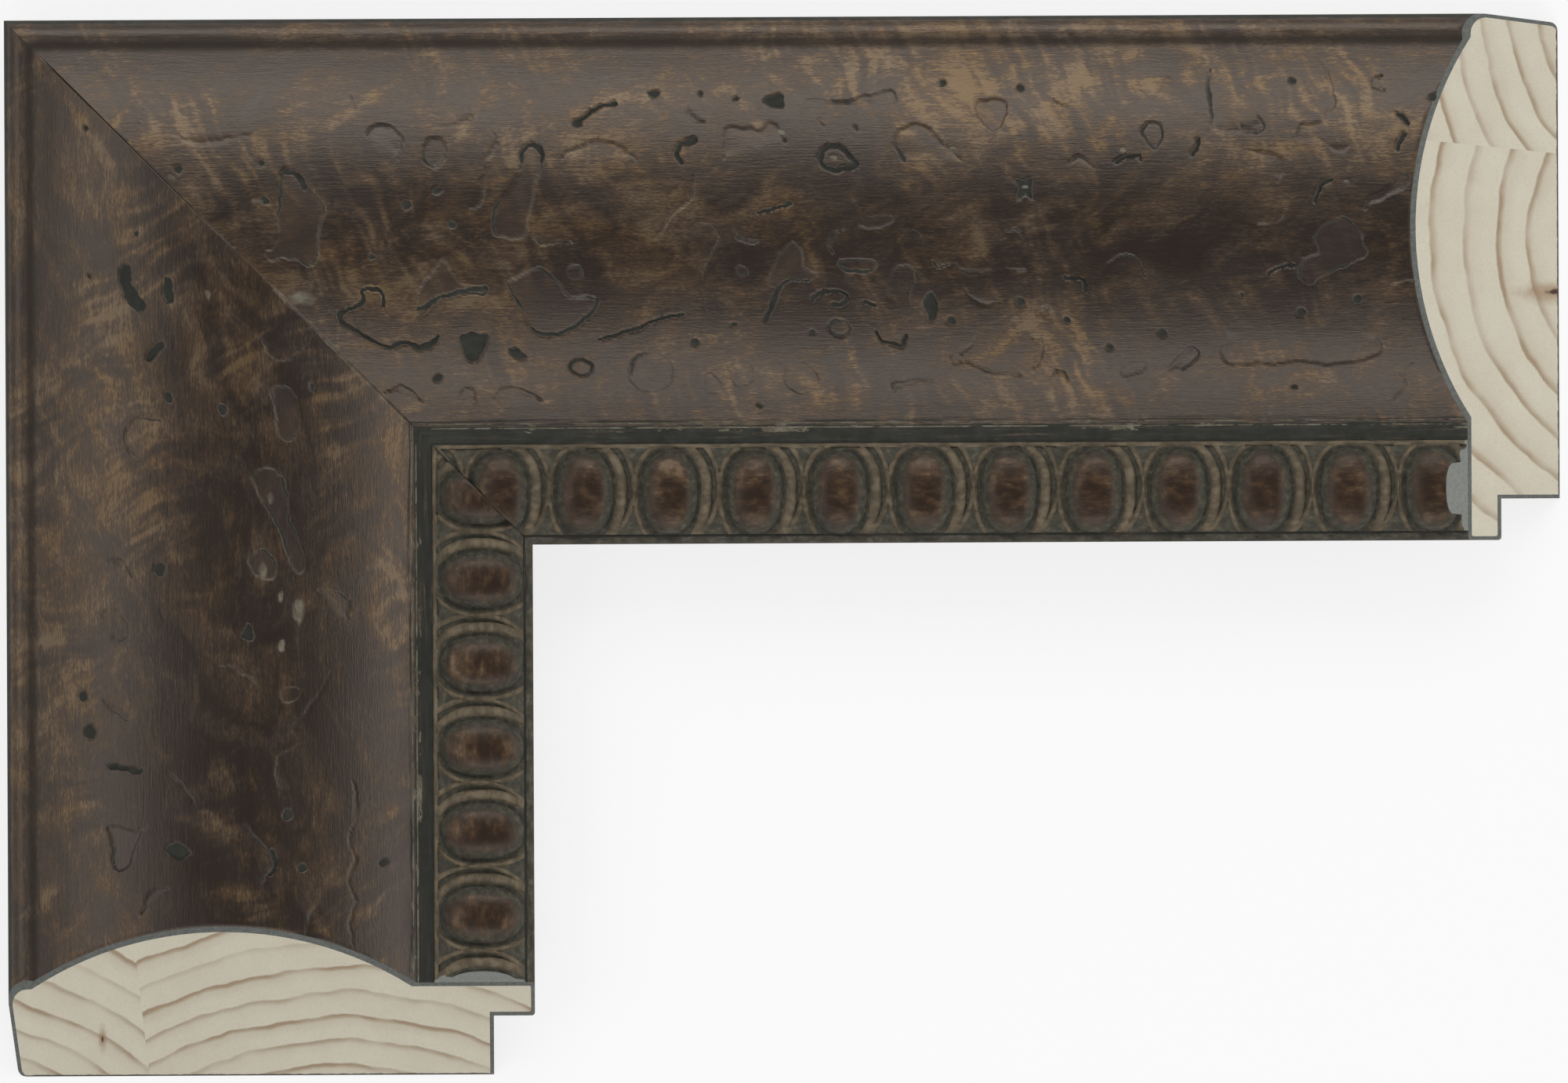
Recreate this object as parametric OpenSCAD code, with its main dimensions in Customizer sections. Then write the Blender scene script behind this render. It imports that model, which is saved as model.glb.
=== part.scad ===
// Corner sample of a wide picture frame moulding, lying on its back with the face up.
// Two rails meet at a mitre, and their free ends are sawn at a bevel that shows the section.
// Each rail is two pine staves glued edge to edge, a gesso coat that carries the finish, and
// a pressed composition strip of eggs in hollow cups along the sight edge.
// A rail is drawn along x from the outer corner. Its section is drawn with u, the distance
// from the outer side, and v, the height above the back.

/* [Rails] */
// Length of the top rail along its outer side
top_len = 243.7; // [180:0.1:600]
// Length of the side rail along its outer side
side_len = 165.6; // [130:0.1:600]
// Slope of the sawn free ends, from the level back
end_slope = 45; // [35:1:90]

/* [Section] */
// Width from the outer side to the sight edge
mould_w = 82.5; // [80:0.5:90]
// Height of the arched crown above the back
mould_h = 23.6; // [22.5:0.1:26]
// Radius of the arched face
arch_r = 55.8; // [54:0.1:60]
// Distance of the crown from the outer side
crown_u = 33.6; // [32:0.1:35]
// Height of the flat between the arch and the sight edge
flat_h = 14.6; // [13:0.1:15]
// Radius of the bead on the outer edge
bead_r = 3.2; // [2.4:0.1:3.4]
// Height of the top of the bead
bead_top = 15.2; // [14.8:0.1:16.5]
// Height at which the outer side starts to lean in
lean_top = 11.5; // [8:0.5:12]
// Distance that the back edge is set in from the outer side
lean_in = 1.4; // [0:0.1:3]
// Radius of the outer back edge
back_r = 1.3; // [0.5:0.1:2]
// Radius of the two sight edge corners
sight_r = 0.5; // [0.3:0.1:1]

/* [Rabbet] */
// Depth of the rabbet under the sight edge
rabbet_w = 6.5; // [5:0.5:10]
// Height of the rabbet from the back to its shelf
rabbet_h = 9.3; // [6:0.1:10]

/* [Gesso and glue line] */
// Thickness of the gesso on the arch
gesso_t = 0.9; // [0.5:0.1:1]
// Thickness of the gesso on the flat, on the outer side and sight edge, and in the rabbet
thin_gesso_t = 0.6; // [0.4:0.1:0.8]
// Height of the wooden ledge under the bead
ledge_h = 13.8; // [13:0.1:14]
// Distance of the glue line from the outer side, at the back
glue_back_u = 21.9; // [15:0.1:30]
// Distance of the glue line from the outer side, at crown height
glue_face_u = 19.6; // [15:0.1:30]

/* [Egg strip] */
// Distance of the egg strip from the outer side
strip_u = 66.8; // [66:0.1:68]
// Width of the egg strip
strip_w = 14.2; // [13:0.1:14.5]
// Thickness of the strip along its two edges
strip_edge_t = 0.3; // [0.2:0.1:0.6]
// Thickness of the strip's plain ground along its middle
ground_t = 1.5; // [1.2:0.1:1.6]
// Height of the rims above the gesso, along the middle of the strip
rim_t = 2; // [1.7:0.1:2.4]
// Height of the rims above the gesso, along the edges of the strip
rim_edge_t = 0.6; // [0.5:0.1:0.9]
// Width of the line that borders the strip
border_w = 0.6; // [0.4:0.1:1]
// Pitch of the eggs on the top rail
top_pitch = 13.3; // [13:0.01:16]
// Pitch of the eggs on the side rail, where the soft strip was laid a little tighter
side_pitch = 13.17; // [13:0.01:16]
// Distance of the first egg on the top rail from the outer corner
top_first = 77.4; // [72:0.1:84]
// Distance of the first egg on the side rail from the outer corner
side_first = 74.9; // [72:0.1:84]

/* [Egg and cup] */
// Half length of an egg, across the strip
egg_half_l = 6.4; // [5.5:0.1:6.5]
// Half width of an egg, along the strip
egg_half_w = 4.3; // [3:0.1:4.4]
// Height of an egg above the gesso
egg_h = 3.5; // [2.6:0.1:4]
// Half length of the oval cup, across the strip
cup_half_l = 7.5; // [7:0.1:8]
// Half width of the oval cup, along the strip
cup_half_w = 5.1; // [4.8:0.1:5.3]
// Thickness of the strip below the cups
cup_floor_t = 1; // [0.8:0.1:1.1]
// Width of the thin side of a cup's rim
rim_w = 0.6; // [0.4:0.1:0.7]
// Width of the crescent, the thick side of a cup's rim
crescent_w = 1.2; // [0.8:0.1:1.3]
// Width of the thin arc that curves round each crescent
arc_w = 0.4; // [0.4:0.1:0.8]

/* [Hidden] */

arch_v = mould_h - arch_r;
bead_v = bead_top - bead_r;
bead_clip = 0.1;
lean_angle = atan(lean_in / lean_top);
sight_corner_r = min(sight_r, thin_gesso_t / 2);
ledge_r = 2.4;
strip_end_u = strip_u + strip_w;
strip_mid_u = strip_u + strip_w / 2;
cup_u = strip_u + border_w + cup_half_l;
egg_u = cup_u - 0.5;
arc_half_w = 7.8;
arc_half_l = 9.4;
arc_back = 1.3;
over = 1;
top_eggs = floor((top_len - top_first) / top_pitch);
side_eggs = floor((side_len - side_first) / side_pitch);

pine = [0.79, 0.76, 0.68];
gesso = [0.29, 0.25, 0.21];
composition = [0.36, 0.32, 0.27];

// Points of an arc, between two directions given in degrees
function arc(centre, r, from, to, steps = 6) =
    [for (i = [0:steps]) centre + r * [cos(from + (to - from) * i / steps),
                                       sin(from + (to - from) * i / steps)]];

// The rounded back edge on the outer side, moved in by the skin left off
function back_edge(skin) =
    arc([skin + lean_in + back_r * (1 / cos(lean_angle) - tan(lean_angle)), back_r],
        back_r, 180 + lean_angle, 270);

// The rounded sight edge, from the shelf of the rabbet to the flat
function sight_edge(sight_u, shelf_v, flat_v, r) =
    concat(arc([sight_u - r, shelf_v + r], r, 270, 360), arc([sight_u - r, flat_v - r], r, 0, 90));

// The part of the arched face that stands above the flat
module arched_face(r, flat_v) {
    intersection() {
        translate([crown_u, arch_v]) circle(r = r, $fn = 240);
        translate([bead_r, flat_v - over]) square([mould_w, mould_h]);
    }
}

// Section of the finished moulding, gesso and all
module finished_section() {
    arched_face(arch_r, flat_h);
    intersection() {
        translate([bead_r - bead_clip, bead_v]) circle(r = bead_r, $fn = 48);
        translate([0, bead_v - bead_r]) square(2 * bead_r);
    }
    polygon(concat(
        [[bead_r, flat_h], [bead_r, bead_v], [0, bead_v], [0, lean_top]],
        back_edge(0),
        [[mould_w - rabbet_w, 0], [mould_w - rabbet_w, rabbet_h]],
        sight_edge(mould_w, rabbet_h, flat_h, sight_r)
    ));
}

// Section of the wood under the gesso
module wood_section() {
    wall_u = mould_w - rabbet_w - thin_gesso_t;
    flat_v = flat_h - thin_gesso_t;
    arched_face(arch_r - gesso_t, flat_v);
    polygon(concat(
        arc([thin_gesso_t + ledge_r, ledge_h - ledge_r], ledge_r, 90, 180),
        back_edge(thin_gesso_t),
        [[wall_u, 0], [wall_u, rabbet_h + thin_gesso_t]],
        sight_edge(mould_w - thin_gesso_t, rabbet_h + thin_gesso_t, flat_v, sight_corner_r),
        [[crown_u, flat_v], [crown_u, ledge_h]]
    ));
}

// The outer side of the glue line
module glue_line_side() {
    slope = (glue_face_u - glue_back_u) / mould_h;
    polygon([
        [-over, -over],
        [glue_back_u - slope * over, -over],
        [glue_face_u + slope * over, mould_h + over],
        [-over, mould_h + over]
    ]);
}

// Room that a rail takes up, from its mitre to its bevelled end
module rail_room(len, from_v = 0) {
    intersection() {
        translate([0, 0, from_v])
            linear_extrude(mould_h)
                polygon([[0, 0], [len, 0], [len, mould_w], [mould_w, mould_w]]);
        translate([0, mould_w + over, 0])
            rotate([90, 0, 0])
                linear_extrude(mould_w + 2 * over)
                    polygon([
                        [-over, -over],
                        [len + over / tan(end_slope), -over],
                        [len - (mould_h + over) / tan(end_slope), mould_h + over],
                        [-over, mould_h + over]
                    ]);
    }
}

// A length of the section given as its child, cut to a rail's room
module rail_length(len) {
    intersection() {
        rotate([90, 0, 90]) linear_extrude(len) children();
        rail_room(len);
    }
}

// A bar of the egg strip's width with an arched top
module arched_bar(len, edge_t, middle_t) {
    rise = middle_t - edge_t;
    r = (pow(strip_w / 2, 2) + pow(rise, 2)) / (2 * rise);
    rotate([90, 0, 90])
        linear_extrude(len)
            intersection() {
                translate([strip_mid_u, flat_h + middle_t - r]) circle(r = r, $fn = 240);
                translate([strip_u, flat_h]) square([strip_w, middle_t]);
            }
}

// An oval with half axes along and across the strip
module oval(half_w, half_l) {
    scale([half_w, half_l]) circle(r = 1, $fn = 64);
}

// Outline of one cup's rim, thin on one side and a crescent on the other, and of its thin arc
module rim_outline() {
    translate([(crescent_w - rim_w) / 2, 0])
        oval(cup_half_w + (crescent_w + rim_w) / 2, cup_half_l + rim_w);
    intersection() {
        translate([0, -arc_back])
            difference() {
                oval(arc_half_w, arc_half_l);
                oval(arc_half_w - arc_w, arc_half_l - arc_w);
            }
        translate([cup_half_w / 2, -strip_w]) square([arc_half_w, 2 * strip_w]);
    }
}

// The strip as it was pressed: cups with rims, an egg in each, and a border line.
// hand is 1 where the crescents face along the rail, and -1 where they face the corner.
module pressed_strip(len, first, pitch, eggs, hand) {
    places = [for (i = [-1:eggs]) first + i * pitch];
    difference() {
        union() {
            arched_bar(len, strip_edge_t, ground_t);
            intersection() {
                arched_bar(len, rim_edge_t, rim_t);
                linear_extrude(mould_h)
                    for (x = places)
                        translate([x, cup_u]) scale([hand, 1]) rim_outline();
            }
        }
        translate([0, 0, flat_h + cup_floor_t])
            linear_extrude(mould_h)
                for (x = places) translate([x, cup_u]) oval(cup_half_w, cup_half_l);
    }
    translate([0, strip_u, flat_h]) cube([len, border_w, rim_edge_t]);
    for (x = places)
        translate([x, egg_u, flat_h + strip_edge_t])
            scale([egg_half_w, egg_half_l, egg_h - strip_edge_t]) sphere(r = 1, $fn = 48);
}

module outer_stave(len) {
    color(pine)
        rail_length(len)
            intersection() {
                wood_section();
                glue_line_side();
            }
}

module inner_stave(len) {
    color(pine)
        rail_length(len)
            difference() {
                wood_section();
                glue_line_side();
            }
}

module gesso_coat(len) {
    color(gesso)
        rail_length(len)
            difference() {
                finished_section();
                wood_section();
            }
}

module egg_strip(len, first, pitch, eggs, hand) {
    color(composition)
        intersection() {
            pressed_strip(len, first, pitch, eggs, hand);
            rail_room(len, flat_h);
        }
}

// The top rail runs to the right of the outer corner, with its sight edge below
module as_top_rail() {
    translate([-top_len / 2, side_len / 2, 0]) mirror([0, 1, 0]) children();
}

// The side rail runs down from the outer corner, with its sight edge on the right
module as_side_rail() {
    translate([-top_len / 2, side_len / 2, 0]) rotate([0, 0, -90]) children();
}

module top_rail_outer_stave() { as_top_rail() outer_stave(top_len); }
module top_rail_inner_stave() { as_top_rail() inner_stave(top_len); }
module top_rail_gesso_coat() { as_top_rail() gesso_coat(top_len); }
module top_rail_egg_strip() { as_top_rail() egg_strip(top_len, top_first, top_pitch, top_eggs, 1); }
module side_rail_outer_stave() { as_side_rail() outer_stave(side_len); }
module side_rail_inner_stave() { as_side_rail() inner_stave(side_len); }
module side_rail_gesso_coat() { as_side_rail() gesso_coat(side_len); }
module side_rail_egg_strip() { as_side_rail() egg_strip(side_len, side_first, side_pitch, side_eggs, -1); }

top_rail_outer_stave();
top_rail_inner_stave();
top_rail_gesso_coat();
top_rail_egg_strip();
side_rail_outer_stave();
side_rail_inner_stave();
side_rail_gesso_coat();
side_rail_egg_strip();
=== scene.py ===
import math
from collections import namedtuple

import bmesh
import bpy
import numpy as np
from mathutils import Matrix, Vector, noise


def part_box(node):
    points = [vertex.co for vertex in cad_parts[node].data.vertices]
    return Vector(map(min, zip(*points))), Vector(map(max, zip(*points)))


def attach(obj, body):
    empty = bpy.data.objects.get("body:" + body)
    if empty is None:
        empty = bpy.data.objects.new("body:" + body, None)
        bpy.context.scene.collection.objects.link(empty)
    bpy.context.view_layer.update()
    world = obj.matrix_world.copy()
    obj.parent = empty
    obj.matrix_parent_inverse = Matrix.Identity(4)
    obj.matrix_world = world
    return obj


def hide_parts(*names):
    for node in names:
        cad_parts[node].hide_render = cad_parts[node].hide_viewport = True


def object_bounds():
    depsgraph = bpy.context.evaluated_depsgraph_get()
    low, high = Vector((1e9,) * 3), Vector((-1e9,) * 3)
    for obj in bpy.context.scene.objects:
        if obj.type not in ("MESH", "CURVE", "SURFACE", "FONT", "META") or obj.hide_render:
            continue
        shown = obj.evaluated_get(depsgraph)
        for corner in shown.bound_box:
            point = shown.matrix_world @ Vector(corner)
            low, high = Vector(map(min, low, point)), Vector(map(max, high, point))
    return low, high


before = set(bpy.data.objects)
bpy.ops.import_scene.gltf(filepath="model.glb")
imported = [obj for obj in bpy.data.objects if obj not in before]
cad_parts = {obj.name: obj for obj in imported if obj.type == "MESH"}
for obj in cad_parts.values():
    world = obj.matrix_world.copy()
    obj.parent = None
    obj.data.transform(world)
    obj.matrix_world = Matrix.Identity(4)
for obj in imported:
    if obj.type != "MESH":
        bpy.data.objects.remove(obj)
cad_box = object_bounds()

# Sizes are in millimetres, as in the part's source. On each rail s is the distance along it from
# the outer corner, u the distance across it from its outer side, and v the height above the back.
MM = 0.001
CORNER = np.array([cad_box[0].x, cad_box[1].y, 0.0]) / MM
TOP_LENGTH = (cad_box[1].x - cad_box[0].x) / MM
SIDE_LENGTH = (cad_box[1].y - cad_box[0].y) / MM
CROWN_V = cad_box[1].z / MM
MOULD_W = 82.5
ARCH_R = 55.8
CROWN_U = 33.6
ARCH_V = CROWN_V - ARCH_R
FLAT_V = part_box("top_rail_egg_strip")[0].z / MM
BEAD_R = 3.2
BEAD_U = BEAD_R - 0.1
BEAD_V = 15.2 - BEAD_R
LEAN_TOP_V = 11.5
LEAN_IN = 1.4
BACK_R = 1.3
SIGHT_R = 0.5
RABBET_W = 6.5
RABBET_V = 9.3
GESSO = 0.9
THIN_GESSO = 0.6
FACE_U = 5
FACE_END_U = 63
FILLET_U = 64
WAVE_DEPTH = 0.05
REFINE_CELLS = (0.85, 0.36)
LEDGE_V = 13.8
LEDGE_R = 2.4

STRIP_U = CORNER[1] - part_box("top_rail_egg_strip")[1].y / MM
STRIP_END_U = CORNER[1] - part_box("top_rail_egg_strip")[0].y / MM
STRIP_EDGE = 0.3
STRIP_GROUND = 1.5
RIM_TOP = 2.0
RIM_EDGE = 0.6
BORDER_W = 0.75
EGG_U = 74.4
EGG_HALF_L = 6.5
EGG_HALF_W = 4.5
EGG_TOP = 3.6
BROWN_HALF_L = 6.3
BROWN_HALF_W = 3.7
CUP_U = 73.9
CUP_UP = 6.8
CUP_DOWN = 8.9
CUP_HALF_W = 5.1
CUP_FLOOR = 1.1
RIM_W = 0.72
CRESCENT_W = 1.4
ARC_U = CUP_U - 0.35
ARC_HALF_W = 7.43
ARC_HALF_L = 8.97
ARC_W = 0.55
STRIP_ROWS = 74
END_STEPS = 140
NOISE_SEED = 7
noise.seed_set(NOISE_SEED)

Rail = namedtuple("Rail", "name along across length turn first_egg pitch hand")
TOP = Rail("top_rail", (1, 0, 0), (0, -1, 0), TOP_LENGTH, 0, 77.4, 13.3, 1)
SIDE = Rail("side_rail", (0, -1, 0), (1, 0, 0), SIDE_LENGTH, 90, 74.9, 13.12, -1)


def on_rail(rail, s, u, v):
    """Places in the object's frame, in metres, of points given on a rail."""
    place = CORNER + np.outer(s, rail.along) + np.outer(u, rail.across) + np.outer(v, (0, 0, 1))
    return place * MM


def smooth_step(start, end, value):
    """0 where value is at or before start, 1 at or past end, and smooth between."""
    share = np.clip((value - start) / (end - start), 0, 1)
    return share * share * (3 - 2 * share)


def wander(s, u, size, seed):
    """Two smooth random offsets, each from -1 to 1, that change over about size millimetres."""
    found = [noise.noise_vector((a / size, b / size, seed)) for a, b in zip(s, u)]
    return np.array(found)[:, 0], np.array(found)[:, 1]


# The section

def arc(u, v, radius, start, end, step):
    """Points on an arc about (u, v), from one direction to another in degrees, about step apart."""
    count = max(2, round(math.radians(abs(end - start)) * radius / step))
    turns = [math.radians(start + (end - start) * i / count) for i in range(count + 1)]
    return [(u + radius * math.cos(turn), v + radius * math.sin(turn)) for turn in turns]


def line(start, end, step):
    """Points from start to just before end, about step apart."""
    count = max(1, round(math.dist(start, end) / step))
    return [tuple(a + (b - a) * i / count for a, b in zip(start, end)) for i in range(count)]


def back_edge(skin, step):
    """The rounded back edge of the outer side, upwards, moved in by the skin left off."""
    lean = math.atan(LEAN_IN / LEAN_TOP_V)
    u = skin + LEAN_IN + BACK_R * (1 / math.cos(lean) - math.tan(lean))
    return arc(u, BACK_R, BACK_R, 270, 180 + math.degrees(lean), step)


def finished_outline():
    """The finished surface, from the outer back edge over the face to the back of the rabbet."""
    gap = math.dist((BEAD_U, BEAD_V), (CROWN_U, ARCH_V))
    groove = math.acos((BEAD_R**2 + gap**2 - ARCH_R**2) / (2 * BEAD_R * gap))
    groove = math.degrees(groove + math.atan2(ARCH_V - BEAD_V, CROWN_U - BEAD_U))
    bead = arc(BEAD_U, BEAD_V, BEAD_R, 180 - math.degrees(math.acos(BEAD_U / BEAD_R)), groove, 0.35)
    foot = math.degrees(math.atan2(bead[-1][1] - ARCH_V, bead[-1][0] - CROWN_U))
    arris = math.degrees(math.asin((FLAT_V - ARCH_V) / ARCH_R))
    arch = arc(CROWN_U, ARCH_V, ARCH_R, foot, arris + 1.2, 1.0)
    arris_points = arc(CROWN_U, ARCH_V, ARCH_R, arris + 1.2, arris, 0.2)
    wall_u = MOULD_W - RABBET_W
    edge_u = MOULD_W - SIGHT_R
    flat_start = arris_points[-1]
    points = back_edge(0, 0.5)
    points += line(points[-1], (0, LEAN_TOP_V), 3.0)[1:]
    points += [(0, LEAN_TOP_V)] + bead + arch[1:] + arris_points[1:]
    points += line(flat_start, (STRIP_U + 0.4, FLAT_V), 0.3)[1:]
    points += line((STRIP_U + 0.4, FLAT_V), (STRIP_END_U - 0.3, FLAT_V), 5.0)
    points += line((STRIP_END_U - 0.3, FLAT_V), (edge_u, FLAT_V), 0.3)
    points += arc(edge_u, FLAT_V - SIGHT_R, SIGHT_R, 90, 0, 0.2)
    points += line((MOULD_W, FLAT_V - SIGHT_R), (MOULD_W, RABBET_V + SIGHT_R), 1.2)[1:]
    points += arc(edge_u, RABBET_V + SIGHT_R, SIGHT_R, 0, -90, 0.2)
    points += line((edge_u, RABBET_V), (wall_u, RABBET_V), 3.0)[1:]
    points += line((wall_u, RABBET_V), (wall_u, 0), 3.0) + [(wall_u, 0)]
    return points


def wood_outline():
    """The wood under the gesso, from the back of the rabbet to the outer back edge."""
    wall_u = MOULD_W - RABBET_W - THIN_GESSO
    shelf_v = RABBET_V + THIN_GESSO
    flat_v = FLAT_V - THIN_GESSO
    radius = ARCH_R - GESSO
    corner_r = min(SIGHT_R, THIN_GESSO / 2)
    edge_u = MOULD_W - THIN_GESSO - corner_r
    start = math.degrees(math.asin((flat_v - ARCH_V) / radius))
    end = 180 - math.degrees(math.asin((LEDGE_V - ARCH_V) / radius))
    points = [(wall_u, 0), (wall_u, shelf_v)]
    points += arc(edge_u, shelf_v + corner_r, corner_r, 270, 360, 0.3)
    points += arc(edge_u, flat_v - corner_r, corner_r, 0, 90, 0.3)
    points += arc(CROWN_U, ARCH_V, radius, start, end, 2.5)
    points += arc(THIN_GESSO + LEDGE_R, LEDGE_V - LEDGE_R, LEDGE_R, 90, 180, 0.8)
    points += back_edge(THIN_GESSO, 0.5)[::-1]
    return points


# The marks in the finish

Mark = namedtuple("Mark", "path closed width groove floor line_paint floor_paint pale flaked wall")
WALL = 0.22
FLAKE_RUN = 2.2
MAX_LEAN = 0.55
MARK_REACH = 1.5
FAR_AWAY = 9.0


def curve(points, closed, step=0.5):
    """Points on a smooth curve through the given ones."""
    points = np.array(points, float)
    ends = [points[-1:], points, points[:2]] if closed else [points[:1], points, points[-1:]]
    padded = np.concatenate(ends)
    found = []
    for before, start, end, after in zip(padded, padded[1:], padded[2:], padded[3:]):
        count = max(2, round(np.linalg.norm(end - start) / step))
        share = (np.arange(count) / count)[:, None]
        found.append(
            start
            + 0.5 * share * (end - before)
            + share**2 * (before - 2.5 * start + 2 * end - 0.5 * after)
            + share**3 * 0.5 * (3 * start - before - 3 * end + after)
        )
    return np.concatenate(found + [points[:0] if closed else points[-1:]])


def oval(s, u, half_s, half_u, turn=0):
    """Points round an oval."""
    rounds = np.radians(np.arange(0, 360, 30))
    tilt = math.radians(turn)
    a, b = half_s * np.cos(rounds), half_u * np.sin(rounds)
    return list(zip(s + a * math.cos(tilt) - b * math.sin(tilt),
                    u + a * math.sin(tilt) + b * math.cos(tilt)))


def pit(s, u, radius):
    """A worm hole, filled with dark paint."""
    return Mark(curve(oval(s, u, radius, radius * 0.85), True), True, 0, 0.1, 0.24, 0.8, 0.9, 0, 0, 0.35)


def hollow(*points):
    """A deep dent of its own outline, filled with dark paint."""
    return Mark(curve(points, True), True, 0.1, 0.2, 0.34, 0.9, 0.85, 0, 0, WALL)


def ring(*points):
    """A groove that closes on itself round a slightly sunken middle."""
    return Mark(curve(points, True), True, 0.35, 0.28, 0.16, 0.95, 0.1, 0, 0.5, WALL)


def faint_ring(*points):
    """A shallow outline that the finish has nearly filled."""
    return Mark(curve(points, True), True, 0.2, 0.14, 0.1, 0.4, 0, 0, 0.25, WALL)


def chip(*points):
    """A flake of the finish, lost inside an irregular outline."""
    return Mark(curve(points, True), True, 0.25, 0.26, 0.2, 0.9, 0, 0, 1, WALL)


def groove(width, *points):
    """A deep stroke."""
    return Mark(curve(points, False), False, width * 0.7, 0.34, 0, 1, 0, 0, 0, WALL)


def crease(*points):
    """The lip of a flake, sunken on its inner side and level again a little way from the lip."""
    return Mark(curve(points, False), False, 0.25, 0.22, 0.18, 0.65, 0, 0, 0.3, WALL)


def scuff(s, u, radius, pale=0.6):
    """A spot rubbed towards the pale gesso."""
    return Mark(curve(oval(s, u, radius * 1.4, radius), True), True, 0, 0, 0.05, 0, 0, pale, 0.5, radius)


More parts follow.
